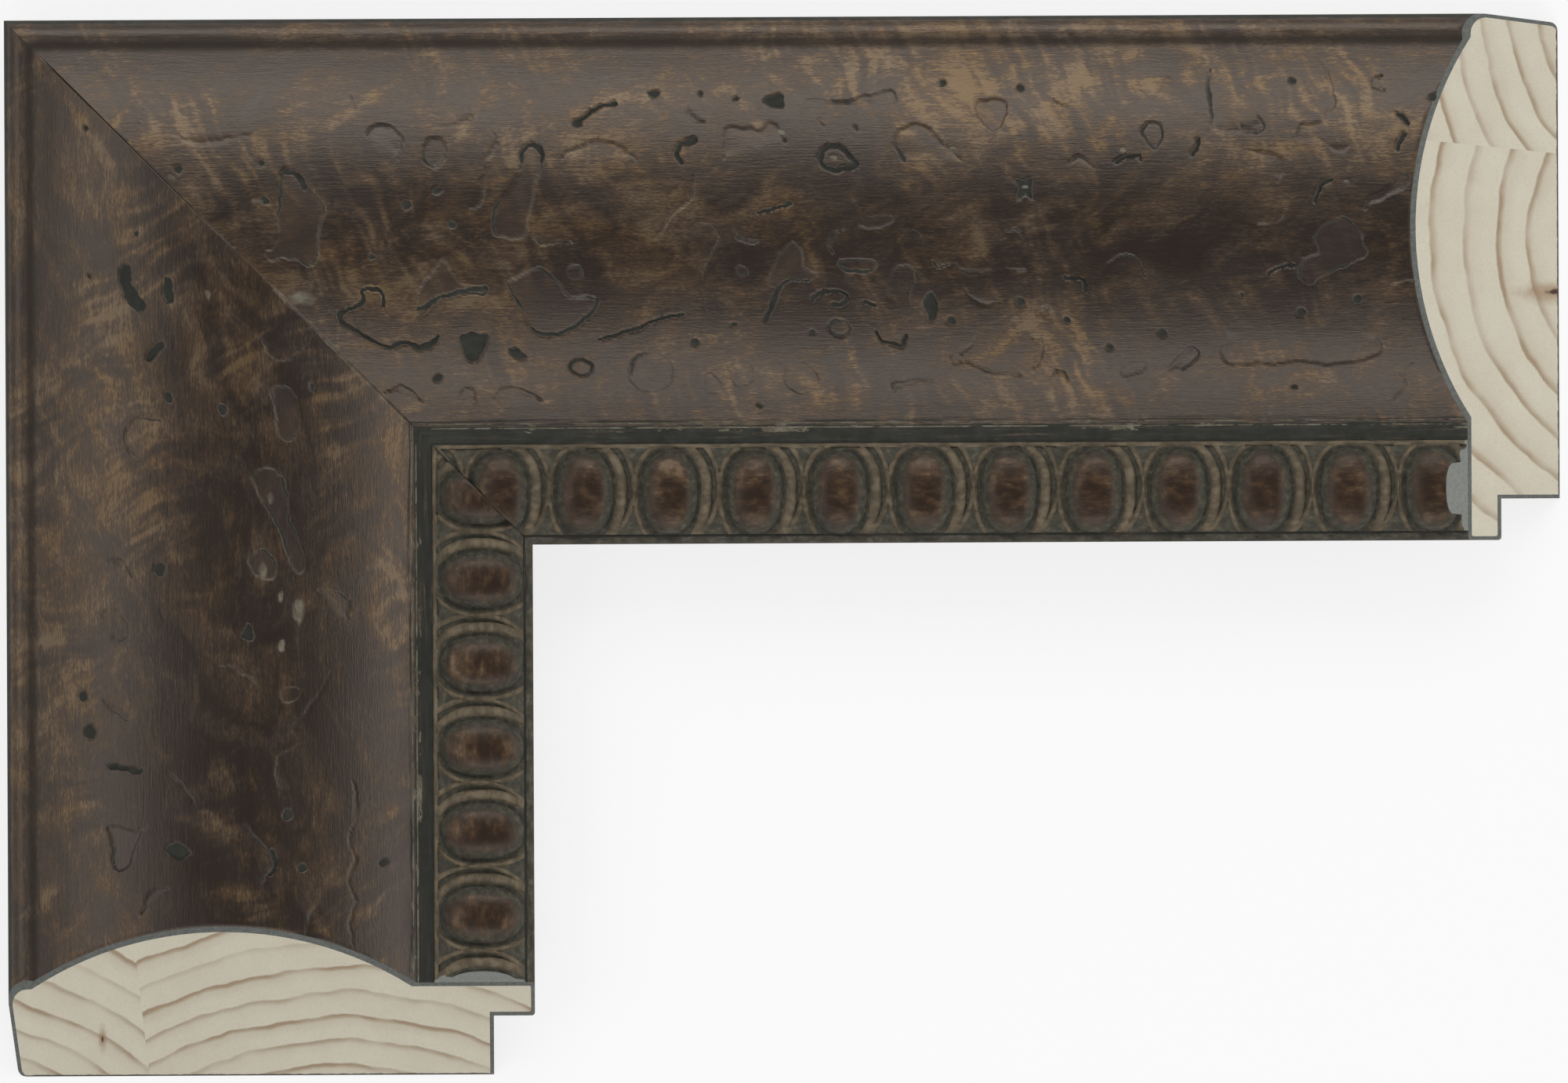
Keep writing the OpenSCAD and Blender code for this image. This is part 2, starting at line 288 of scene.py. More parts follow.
TOP_MARKS = [
    pit(101.8, 11.9, 0.9), pit(109.0, 11.9, 0.6), pit(114.5, 12.9, 0.6), pit(147.0, 10.4, 0.8),
    pit(159.1, 11.2, 0.8), pit(89.8, 16.6, 0.8), pit(122.1, 19.4, 0.5), pit(133.3, 17.6, 0.5),
    pit(122.9, 29.1, 0.7), pit(148.2, 47.8, 0.8), pit(166.3, 47.8, 0.8), pit(108.1, 50.9, 0.8),
    pit(114.1, 48.4, 0.6), pit(126.3, 49.3, 0.6), pit(27.4, 23.6, 0.8), pit(40.3, 22.4, 0.7),
    pit(40.7, 28.4, 0.9), pit(63.2, 29.2, 0.9), pit(70.0, 32.4, 0.8), pit(68.0, 27.1, 0.8),
    pit(57.7, 37.3, 0.6), pit(211.7, 44.7, 0.8), pit(203.0, 46.9, 0.9), pit(181.1, 50.0, 0.8),
    pit(173.0, 51.9, 0.7), pit(193.5, 43.9, 0.6),
    hollow((118.9, 13.2), (120.4, 12.2), (121.9, 12.3), (121.9, 13.9), (120.6, 14.0)),
    hollow((144.0, 44.4), (144.9, 43.3), (145.8, 44.6), (146.0, 47.0), (145.1, 47.9), (144.2, 46.4)),
    hollow((79.2, 52.1), (80.5, 52.0), (81.7, 53.1), (81.0, 53.6), (79.6, 53.1)),
    hollow((222.7, 13.2), (223.8, 12.5), (225.2, 12.8), (224.8, 13.6), (223.6, 13.7)),
    groove(0.9, (128.0, 21.0), (127.9, 22.8), (129.2, 24.0), (131.2, 23.9), (133.4, 23.2),
           (132.0, 21.8), (131.0, 20.5), (129.2, 20.2), (128.0, 21.0)),
    hollow((158.3, 25.5), (159.6, 25.9), (160.9, 25.4), (160.5, 27.0), (161.1, 28.7), (159.8, 28.1),
           (158.5, 28.9), (158.8, 27.2)),
    scuff(159.6, 26.9, 0.7, 0.7),
    ring(*oval(133.6, 39.1, 3.0, 0.9, 3)), ring(*oval(130.7, 48.8, 1.5, 1.1)),
    ring(*oval(163.0, 46.6, 0.9, 0.9)), ring(*oval(89.2, 40.0, 1.1, 1.1)),
    ring(*oval(115.4, 39.9, 0.8, 0.8)), ring(*oval(90.2, 54.8, 1.7, 1.3)),
    ring(*oval(136.3, 32.2, 2.8, 0.9, -8)),
    hollow((71.6, 49.7), (75.5, 49.6), (75.2, 51.6), (74.1, 53.5), (72.4, 53.5), (71.8, 51.6)),
    ring((178.3, 18.4), (179.5, 16.8), (180.9, 17.2), (181.1, 19.1), (180.4, 20.8), (179.5, 20.3)),
    chip((152.1, 13.4), (154.5, 13.0), (156.9, 13.3), (156.9, 15.5), (156.1, 17.4), (154.6, 18.0),
         (152.8, 16.6), (152.1, 15.0)),
    chip((123.4, 35.3), (124.8, 37.0), (125.3, 39.5), (127.0, 40.4), (125.9, 41.3), (123.1, 41.1),
         (121.5, 42.2), (119.7, 42.1), (120.1, 39.5), (121.8, 37.0)),
    chip((79.0, 42.0), (80.5, 40.5), (83.9, 39.3), (86.0, 40.8), (88.8, 43.8), (92.9, 44.0),
         (92.3, 45.9), (90.4, 47.5), (87.7, 49.1), (85.0, 49.6), (82.2, 48.6), (81.0, 45.5)),
    chip((65.7, 20.9), (66.7, 18.9), (68.7, 18.9), (69.2, 20.9), (68.6, 22.8), (66.7, 23.1)),
    chip((80.7, 24.2), (80.9, 21.1), (82.6, 19.7), (84.2, 20.9), (84.0, 23.6), (82.9, 27.5),
         (82.0, 31.9), (81.5, 34.3), (79.0, 34.6), (76.8, 33.8), (76.5, 30.8), (78.5, 27.5)),
    chip((43.6, 23.9), (45.8, 24.2), (47.4, 26.4), (49.9, 29.1), (49.4, 33.0), (48.8, 37.9),
         (47.4, 38.7), (45.8, 37.6), (44.1, 37.6), (41.6, 37.9), (40.8, 36.3), (42.7, 35.2)),
    chip((68.5, 38.0), (70.2, 40.1), (71.9, 41.8), (75.6, 42.4), (74.6, 43.3), (70.2, 43.4),
         (67.5, 44.5), (65.5, 46.4), (64.7, 45.3), (65.0, 42.3), (66.6, 40.6)),
    chip((210.3, 32.5), (207.5, 32.8), (205.1, 34.9), (205.6, 37.3), (203.3, 38.7), (202.6, 41.0),
         (204.2, 42.7), (205.6, 41.5), (208.0, 40.1), (210.3, 39.1), (213.2, 37.5)),
    chip((212.9, 30.4), (213.6, 29.0), (216.4, 27.4), (217.9, 25.5), (219.7, 25.5), (219.3, 26.9),
         (216.9, 28.3)),
    groove(0.6, (89.8, 16.6), (91.5, 15.1), (93.7, 13.8), (95.9, 13.4)),
    groove(1.1, (108.0, 19.5), (106.1, 19.9), (105.2, 21.3), (106.1, 22.9)),
    groove(0.6, (117.9, 30.7), (120.7, 30.0), (122.9, 29.4)),
    groove(1.0, (121.2, 42.3), (120.1, 45.3), (119.1, 47.6)),
    groove(0.5, (125.9, 41.4), (123.1, 41.3), (121.2, 42.3)),
    groove(0.7, (126.4, 44.7), (127.3, 43.5), (131.1, 43.2), (131.9, 44.2), (130.8, 45.4),
           (129.5, 45.3)),
    groove(0.6, (93.2, 50.4), (95.4, 50.0), (98.7, 48.9), (101.4, 47.7), (103.6, 47.0),
           (106.4, 46.6)),
    groove(0.7, (136.5, 49.6), (137.3, 50.8), (139.1, 51.4), (140.5, 51.5), (141.0, 50.2)),
    groove(0.7, (134.6, 44.9), (136.2, 45.2)),
    groove(0.6, (165.7, 41.1), (167.9, 41.3), (169.0, 42.1), (169.3, 43.3)),
    groove(0.6, (92.9, 44.0), (92.3, 45.9), (90.4, 47.5), (87.7, 49.1), (85.0, 49.6), (82.6, 48.9)),
    groove(0.8, (59.2, 45.0), (59.2, 42.8), (56.2, 42.6), (55.9, 44.5), (52.6, 46.4), (53.2, 47.8),
           (57.0, 50.1), (59.8, 51.6), (62.5, 50.8), (65.3, 51.6), (68.0, 50.0)),
    groove(0.7, (64.7, 45.6), (66.1, 45.1), (68.0, 44.0), (70.8, 43.1), (75.4, 42.3)),
    groove(0.8, (81.0, 22.4), (81.2, 20.7), (82.6, 19.8), (84.1, 20.9), (84.0, 22.6)),
    groove(0.8, (43.8, 24.0), (45.6, 24.3), (46.6, 25.4), (47.2, 26.6)),
    crease((215.7, 9.5), (214.5, 10.0), (214.3, 11.1), (215.5, 11.8), (216.8, 12.0)),
    groove(0.8, (186.9, 19.6), (186.7, 20.8), (185.8, 21.8)),
    groove(0.8, (174.1, 22.9), (175.5, 22.3), (177.6, 22.2), (177.8, 22.9)),
    groove(0.9, (218.1, 15.8), (219.3, 16.3), (219.7, 17.5)), groove(1.0, (219.0, 18.9), (218.1, 21.2)),
    groove(0.9, (207.5, 26.0), (206.1, 26.9), (205.1, 29.3)),
    groove(0.6, (197.6, 40.8), (199.0, 39.9), (201.9, 39.2)),
    crease((191.6, 49.6), (190.6, 52.0), (190.8, 54.0), (192.4, 54.9), (195.3, 54.5), (198.1, 54.9),
           (201.9, 54.4), (204.7, 54.5), (208.4, 54.9), (212.7, 54.2), (215.6, 52.6), (214.0, 50.0)),
    crease((125.9, 13.2), (127.3, 13.3), (131.1, 13.4), (135.0, 12.5), (138.8, 11.7), (139.6, 12.9),
           (139.1, 14.6)),
    crease((127.8, 15.7), (127.7, 16.5), (128.6, 17.1)), crease((164.1, 13.4), (166.8, 14.3)),
    crease((87.4, 22.4), (88.5, 21.0), (91.0, 19.9), (92.9, 19.4), (95.7, 19.7), (97.3, 21.0),
           (99.0, 22.4)),
    crease((106.7, 13.3), (106.8, 15.1), (107.5, 16.2), (110.0, 16.5)),
    crease((112.8, 22.0), (113.0, 17.5), (116.3, 17.2), (118.5, 17.7), (119.7, 16.5), (121.0, 17.1),
           (122.0, 19.3)),
    crease((141.0, 22.7), (139.9, 21.0), (139.9, 18.0), (142.7, 16.9), (144.6, 17.5), (146.5, 19.7),
           (148.7, 21.3), (149.7, 22.7)),
    crease((166.7, 23.1), (168.0, 22.2), (169.3, 22.6), (170.4, 23.7), (171.7, 24.0)),
    crease((114.1, 33.2), (114.6, 34.8), (116.8, 35.4), (118.4, 35.0)),
    crease((138.0, 45.3), (138.5, 41.4), (139.6, 39.5), (141.0, 39.0), (142.2, 40.1), (142.0, 43.1),
           (141.6, 45.3)),
    crease((145.4, 38.4), (146.5, 39.5), (148.7, 38.8), (150.3, 40.4), (152.8, 40.6), (156.4, 39.9),
           (160.0, 40.2)),
    crease((150.5, 43.1), (151.7, 44.5), (153.6, 45.7), (155.8, 44.9)),
    crease((140.7, 35.3), (140.5, 34.0), (142.1, 33.4), (143.5, 34.2), (143.7, 35.9)),
    crease((129.5, 37.0), (128.9, 35.3), (129.5, 34.0), (131.7, 33.4)),
    crease((156.4, 33.6), (158.6, 33.8), (159.4, 34.7)),
    crease((148.2, 53.1), (148.7, 54.5), (150.6, 54.2), (152.6, 55.3), (155.9, 56.1), (159.1, 56.4)),
    crease((152.3, 50.0), (150.9, 51.7), (149.8, 53.0)),
    crease((108.0, 25.0), (107.5, 28.3), (104.5, 31.0), (103.1, 33.2), (101.4, 34.9), (99.2, 36.0)),
    crease((27.6, 18.4), (29.3, 19.3), (32.3, 19.7), (35.6, 18.9), (38.9, 17.9)),
    crease((21.6, 14.0), (21.9, 15.1), (21.2, 16.5)), crease((54.3, 12.1), (54.9, 13.7), (54.3, 15.9)),
    crease((56.8, 18.4), (57.9, 17.0), (59.8, 16.6), (61.7, 17.8), (62.3, 19.2), (61.7, 22.0)),
    crease((68.6, 17.0), (71.3, 16.7), (73.5, 15.6), (73.2, 14.5)),
    crease((76.5, 17.8), (77.3, 19.8), (76.3, 21.4), (75.1, 23.1), (75.3, 26.4), (74.6, 29.4),
           (72.7, 29.7)),
    crease((189.0, 7.6), (188.8, 11.8), (189.2, 16.5), (189.8, 18.3), (192.0, 18.6), (193.8, 18.2)),
    crease((193.8, 17.2), (194.1, 18.4), (196.2, 18.6), (197.1, 17.7), (196.4, 15.8)),
    crease((206.6, 7.4), (207.3, 9.0), (208.0, 11.1), (208.5, 13.5), (207.6, 15.1), (206.8, 16.5),
           (204.7, 17.1), (202.9, 17.4), (202.4, 19.5), (204.2, 19.7), (206.6, 19.8)),
    crease((206.8, 20.1), (208.2, 21.3), (210.1, 21.3), (210.7, 20.3)),
    crease((194.8, 21.2), (197.1, 21.5), (199.5, 22.2), (200.4, 23.8), (199.2, 26.2)),
    crease((216.0, 44.8), (217.4, 42.4), (221.2, 42.0)),
    crease((181.4, 56.6), (181.8, 55.6), (185.4, 52.3), (186.8, 53.3), (184.4, 55.6)),
    crease((171.7, 40.0), (173.1, 38.7), (175.5, 37.7), (177.4, 38.7), (178.5, 41.0)),
    crease((180.7, 12.5), (180.9, 11.1), (181.6, 9.9), (182.8, 9.7)),
    crease((196.2, 32.7), (199.0, 32.5), (200.0, 31.4)),
    crease((59.5, 58.7), (62.5, 57.8), (65.5, 60.5)),
    crease((71.3, 60.0), (71.9, 58.0), (73.5, 58.4), (73.8, 60.8)),
    crease((76.8, 60.0), (78.0, 58.0), (81.2, 58.2), (84.0, 60.0)),
    scuff(121.8, 18.0, 0.7, 1), scuff(148.6, 21.0, 0.8, 0.9), scuff(175.2, 21.2, 0.6, 1),
    scuff(46.6, 43.8, 2.5), scuff(26.4, 24.6, 0.8), scuff(210.3, 26.4, 0.7), scuff(39.6, 28.6, 1.0),
    pit(159.1, 44.8, 0.9), pit(201.9, 58.6, 0.6), pit(118.1, 61.0, 0.5), pit(201.6, 10.3, 0.7),
    faint_ring(*oval(101.2, 55.6, 3.5, 3.1)), faint_ring(*oval(115.4, 56.0, 2.1, 2.0)),
    faint_ring((110.0, 55.9), (111.6, 56.6), (112.6, 58.6), (111.0, 59.3), (109.7, 58.4)),
    faint_ring((122.2, 57.2), (123.0, 55.2), (124.6, 54.2), (126.6, 55.4), (127.0, 57.6), (124.6, 59.0)),
    faint_ring((174.9, 56.0), (176.3, 54.6), (178.4, 54.2), (178.7, 55.2), (176.2, 56.6)),
    crease((98.0, 55.8), (98.8, 53.4), (100.4, 52.5)), crease((122.4, 56.0), (123.2, 54.8), (125.0, 54.2)),
    pit(67.8, 56.4, 0.8), scuff(129.9, 22.2, 0.6, 0.9),
    crease((105.8, 34.6), (107.7, 32.9), (109.7, 32.3), (111.6, 34.2), (110.4, 37.7), (109.1, 41.5),
           (109.5, 44.1), (109.7, 46.1)),
    crease((82.8, 33.4), (83.5, 35.0), (85.8, 35.5), (89.3, 35.0)),
    crease((139.6, 58.9), (139.0, 57.8), (141.5, 57.3), (145.5, 57.2)),
    crease((160.9, 50.6), (162.0, 50.3), (162.4, 52.5), (161.9, 55.0), (160.8, 55.2)),
    crease((163.9, 56.4), (164.7, 55.7), (166.0, 56.1), (166.3, 57.5)),
    crease((220.6, 54.3), (218.6, 56.4), (219.3, 58.4), (217.2, 60.8)),
]

SIDE_MARKS = [
    pit(40.0, 13.3, 0.6), pit(61.1, 34.2, 0.9), pit(59.2, 25.7, 0.8), pit(57.8, 48.2, 0.7),
    pit(86.1, 24.1, 1.1), pit(105.8, 11.9, 1.0), pit(111.5, 13.1, 1.2), pit(124.4, 44.0, 1.0),
    pit(132.8, 46.2, 0.9), pit(132.2, 59.0, 0.7), pit(17.0, 12.8, 0.7), pit(33.5, 20.7, 0.6),
    hollow((38.4, 18.4), (40.4, 18.0), (43.2, 18.9), (45.6, 20.6), (45.6, 22.0), (44.1, 21.6),
           (41.6, 19.9), (39.0, 19.6)),
    hollow((40.4, 25.0), (42.4, 25.0), (44.4, 25.5), (44.2, 26.4), (42.0, 26.5), (40.4, 26.0)),
    hollow((50.3, 24.3), (51.4, 23.0), (53.2, 22.0), (53.4, 22.8), (52.2, 24.2), (51.0, 24.9)),
    hollow((96.9, 37.5), (96.2, 36.9), (94.6, 38.0), (96.0, 38.9), (97.1, 38.6)),
    hollow((116.4, 16.2), (117.2, 16.0), (117.4, 18.0), (118.0, 20.6), (117.2, 21.2), (116.8, 18.4)),
    chip((58.0, 42.0), (57.8, 44.3), (60.5, 46.2), (64.0, 46.0), (66.0, 44.6), (65.2, 42.8),
         (62.0, 42.4)),
    chip((84.4, 38.2), (83.2, 40.6), (85.4, 42.2), (87.6, 42.0), (87.2, 39.4)),
    chip((71.3, 38.8), (70.4, 42.0), (73.4, 43.8), (78.6, 44.6), (84.6, 47.0), (86.6, 45.6),
         (80.0, 43.2), (75.2, 40.2)),
    chip((126.2, 15.9), (127.0, 19.8), (126.6, 21.2), (129.2, 20.0), (132.4, 19.0), (132.8, 17.0),
         (129.8, 16.6)),
    hollow((129.2, 25.1), (129.0, 27.0), (130.4, 28.7), (131.4, 27.2), (130.4, 25.1)),
    ring((105.0, 43.2), (104.8, 45.6), (106.2, 45.8), (107.0, 43.6)),
    crease((123.2, 36.1), (127.0, 38.2), (131.4, 41.5), (134.2, 40.0), (138.4, 39.4)),
    groove(0.7, (130.2, 41.6), (132.6, 42.0), (133.8, 41.2)),
    crease((119.4, 54.2), (122.6, 55.0), (125.4, 54.6), (128.4, 53.6), (131.2, 54.4), (135.4, 53.8),
           (138.8, 54.4), (142.0, 53.6), (145.0, 54.2)),
    crease((135.8, 25.1), (136.0, 23.0), (138.0, 21.9), (139.8, 21.0)),
    crease((138.9, 15.4), (138.8, 16.6), (139.7, 18.2)),
    crease((62.8, 24.4), (62.4, 21.0), (64.6, 18.8), (67.8, 19.6), (69.0, 21.4)),
    crease((93.0, 14.2), (92.6, 17.2), (94.6, 18.9), (96.8, 18.5), (97.2, 16.2)),
    crease((91.5, 24.8), (92.8, 24.2), (94.0, 24.8)), crease((84.6, 16.0), (84.4, 18.4), (87.4, 19.6)),
    crease((89.4, 49.0), (89.6, 51.6), (91.6, 53.6), (94.8, 53.2)),
    crease((105.4, 15.0), (107.0, 15.4), (109.4, 18.4), (108.8, 20.4)),
    crease((100.8, 33.0), (101.6, 36.4), (103.8, 39.0)),
    crease((102.2, 51.0), (108.6, 47.2), (112.0, 44.2), (114.0, 41.6)),
    crease((117.8, 25.4), (120.0, 27.6), (123.2, 29.4)),
    crease((140.0, 48.8), (138.8, 48.2), (140.2, 47.2), (143.4, 47.0)),
    crease((50.0, 40.0), (52.6, 41.6), (53.4, 44.0), (51.8, 46.8), (51.0, 48.4)),
    crease((42.6, 35.6), (45.2, 35.0), (48.6, 33.6)),
    crease((113.0, 47.1), (114.2, 44.6), (115.4, 42.6), (117.6, 42.0), (120.2, 43.0)),
    scuff(86.2, 40.2, 1.6), scuff(92.6, 45.8, 2.2), scuff(90.4, 43.2, 1.2), scuff(98.0, 43.2, 1.2),
    scuff(75.0, 41.5, 1.2), scuff(43.0, 31.8, 0.9),
]


def nearest(points, path, closed):
    """Distance from each point to a path."""
    ends = np.roll(path, -1, axis=0) if closed else path[1:]
    starts = path[: len(ends)]
    spans = ends - starts
    offsets = points[:, None] - starts
    share = np.clip((offsets * spans).sum(2) / np.maximum((spans**2).sum(1), 1e-9), 0, 1)
    return np.sqrt(((offsets - share[..., None] * spans) ** 2).sum(2)).min(1)


def within(points, path):
    """True for each point inside a closed path."""
    ends = np.roll(path, -1, axis=0)
    above = points[:, None, 1] < path[:, 1]
    crosses = above != (points[:, None, 1] < ends[:, 1])
    rise = np.where(ends[:, 1] == path[:, 1], 1e-9, ends[:, 1] - path[:, 1])
    where = path[:, 0] + (points[:, None, 1] - path[:, 1]) / rise * (ends[:, 0] - path[:, 0])
    return (crosses & (points[:, None, 0] < where)).sum(1) % 2 == 1


def warped(s, u):
    """The points moved a little, so that drawn outlines come out ragged."""
    sway, drift = wander(s, u, 1.9, 3.0)
    ripple, shiver = wander(s, u, 0.8, 4.0)
    return np.stack([s + 0.35 * sway + 0.2 * ripple, u + 0.35 * drift + 0.2 * shiver], 1)


def relief(s, u, marks):
    """Depth of the marks in millimetres, dark paint and painted shade inside flakes, pale wear, flaked floor
    and distance to an edge.
    """
    points = warped(s, u)
    thinned = 0.15 * wander(s, u, 3.0, 6.0)[0]
    strong = np.clip(0.62 + 1.1 * wander(s, u, 6.0, 7.0)[0], 0.2, 1)
    depth, paint, pale, flaked = np.zeros((4, len(points)))
    closeness = np.full(len(points), FAR_AWAY)
    for mark in marks:
        low, high = mark.path.min(0) - MARK_REACH, mark.path.max(0) + MARK_REACH
        near = np.flatnonzero(((points > low) & (points < high)).all(1))
        if not len(near):
            continue
        away = nearest(points[near], mark.path, mark.closed) + thinned[near]
        inside = within(points[near], mark.path)
        closeness[near] = np.minimum(closeness[near], np.maximum(away - mark.width / 2, 0))
        stroke = smooth_step(mark.width / 2 + WALL / 2, mark.width / 2 - WALL / 2, away)
        floor = np.where(inside, smooth_step(-0.05, mark.wall, away), 0)
        stroke = stroke * (strong[near] if mark.flaked else 1)
        # Painted shade: inside a flake the floor is painted dark near its edge, where the wall shades it;
        # like a flake's outline, it is stronger in some stretches than others.
        shade = np.where(inside, 0.4 * strong[near] * mark.flaked * np.exp(-away / 0.5), 0)
        if not mark.closed:
            from_chord = nearest(points[near], mark.path[[0, -1]], False)
            floor = floor * np.exp(-away / FLAKE_RUN) * smooth_step(0, 1.2, from_chord)
        here = np.maximum(mark.groove * stroke, mark.floor * floor)
        depth[near] = np.maximum(depth[near], here)
        ink_and_shade = np.maximum(np.maximum(mark.line_paint * stroke, shade), mark.floor_paint * floor)
        paint[near] = np.maximum(paint[near], ink_and_shade)
        pale[near] = np.maximum(pale[near], mark.pale * floor)
        flaked[near] = np.maximum(flaked[near], mark.flaked * floor)
    return depth, paint, pale, flaked, closeness


def joint(s, u):
    """Depth, dark line and pale filler of the mitre joint, which stands open near the outer corner."""
    away = (s - u) / math.sqrt(2)
    sway, _ = wander(s + u, s * 0, 3.0, 8.0)
    crack = smooth_step(0.17, 0.05, away)
    opened = np.interp(u, [1, 4, 8, 30, 37, 62, 65], [0, 0.2, 0.8, 0.7, 0.1, 0.5, 0])
    filled = np.interp(u, [40, 43, 47, 50, 62, 64], [0, 0.45, 0.2, 0.45, 0.45, 0])
    line_width = 0.3 + 0.15 * sway
    pale = smooth_step(line_width + 0.25, line_width, away) * filled
    return 0.25 * crack * opened, 0.8 * crack * opened, pale


# The pieces

def finish_piece(bm, name, rail, slot, *nodes):
    """Turns a bmesh into an object of the rail that stands for CAD nodes."""
    bmesh.ops.recalc_face_normals(bm, faces=bm.faces)
    mesh = bpy.data.meshes.new(name)
    bm.to_mesh(mesh)
    bm.free()
    mesh.shade_smooth()
    mesh.set_sharp_from_angle(angle=math.radians(50))
    piece = bpy.data.objects.new(name, mesh)
    bpy.context.scene.collection.objects.link(piece)
    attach(piece, "root")
    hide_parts(*nodes)
    return piece


def set_values(bm, **values):
    """Stores one number for each vertex under each name."""
    for name, numbers in values.items():
        layer = bm.verts.layers.float.new(name)
        for vertex, number in zip(bm.verts, numbers):
            vertex[layer] = number


def grid_shares(bm):
    """How far along and how far across the unit grid each vertex lies, from 0 to 1."""
    flat = np.array([vertex.co[:2] for vertex in bm.verts])
    return flat[:, 0] + 0.5, flat[:, 1] + 0.5


def place_vertices(bm, places):
    """Moves each vertex to its place."""
    for vertex, place in zip(bm.verts, places):
        vertex.co = place


def coat_points(rail, along, rows, outline):
    """s, u and v on the closed outline, for shares along the rail and rows of the outline."""
    loop = np.array(outline + outline[:1])
    stations = np.arange(len(loop))
    u, v = np.interp(rows, stations, loop[:, 0]), np.interp(rows, stations, loop[:, 1])
    return u + along * (rail.length - v - u), u, v


def refine(bm, near):
    """Halves every edge of the faces round the flagged vertices."""
    flagged = [vertex for vertex, is_near in zip(bm.verts, near) if is_near]
    edges = {edge for vertex in flagged for face in vertex.link_faces for edge in face.edges}
    bmesh.ops.subdivide_edges(bm, edges=list(edges), cuts=1, use_grid_fill=True)


def gesso_coat(rail, columns, marks):
    """The finished coat: a loop of the section run from the mitre to the bevelled end, with its marks."""
    face = finished_outline()
    outline = face + wood_outline()
    bm = bmesh.new()
    bmesh.ops.create_grid(bm, x_segments=columns, y_segments=len(outline), size=0.5)
    for cell in REFINE_CELLS:
        along, across = grid_shares(bm)
        s, u, v = coat_points(rail, along, across * len(outline), outline)
        on_face = (across * len(outline) < len(face)) & (v > FLAT_V - 0.1) & (u < STRIP_U)
        closeness = relief(s, u, marks)[4]
        refine(bm, on_face & ((closeness < cell) | ((s - u < 2 * cell) & (u > 1))))

    along, across = grid_shares(bm)
    rows = across * len(outline)
    s, u, v = coat_points(rail, along, rows, outline)
    on_face = (rows < len(face)) & (v > FLAT_V - 0.1)
    depth, paint, pale, flaked, _ = relief(s, u, marks)
    crack, seam, filler = joint(s, u)
    swell, _ = wander(s, u, 9.0, 5.0)
    waved = WAVE_DEPTH * (1 - swell) * (u > FACE_U) * (u < FACE_END_U)
    drop = np.where(on_face, np.maximum(depth, crack) + waved, 0)
    lean = np.clip((u - CROWN_U) / ARCH_R, -MAX_LEAN, MAX_LEAN) * (u < FILLET_U)
    u, v = u - drop * lean, v - drop * np.sqrt(1 - lean**2)
    s = u + along * (rail.length - v - u)
    place_vertices(bm, on_rail(rail, s, u, v))
    # The stored paint also carries the painted shade inside the flakes.
    set_values(bm, paint=np.maximum(paint, seam) * on_face, pale=np.maximum(pale, filler) * on_face,
               flaked=flaked * on_face)
    bmesh.ops.remove_doubles(bm, verts=bm.verts, dist=1e-7)
    rim = [edge for edge in bm.edges if edge.is_boundary]
    caps = bmesh.ops.holes_fill(bm, edges=rim, sides=0)["faces"]
    for cap in caps:
        cap.material_index = 1
    return finish_piece(bm, rail.name + "_finished_face", rail, "finished_gesso",
                        rail.name + "_gesso_coat")


def oval_distance(a, b, half_a, half_b, power=2.0):
    """Distance outside an oval, and negative inside it. A higher power gives fuller corners."""
    x, y = np.abs(a / half_a), np.abs(b / half_b)
    reach = (x**power + y**power) ** (1 / power) + 1e-6
    slope = np.hypot((x / reach) ** (power - 1) / half_a, (y / reach) ** (power - 1) / half_b)
    return (reach - 1) / np.maximum(slope, 1e-3)


def bar_height(u, edge, middle):
    """Height of a bar with an arched top over the flat."""
    half = (STRIP_END_U - STRIP_U) / 2
    return middle - (middle - edge) * ((u - STRIP_U - half) / half) ** 2


def ridge(inner, outer):
    """A flat-topped ridge, 1 in the middle of the band between two lines and 0 outside it."""
    share = np.clip(inner / np.maximum(inner + outer, 1e-6), 0, 1)
    return np.where((inner > 0) & (outer > 0), np.sin(share * math.pi) ** 0.5, 0)


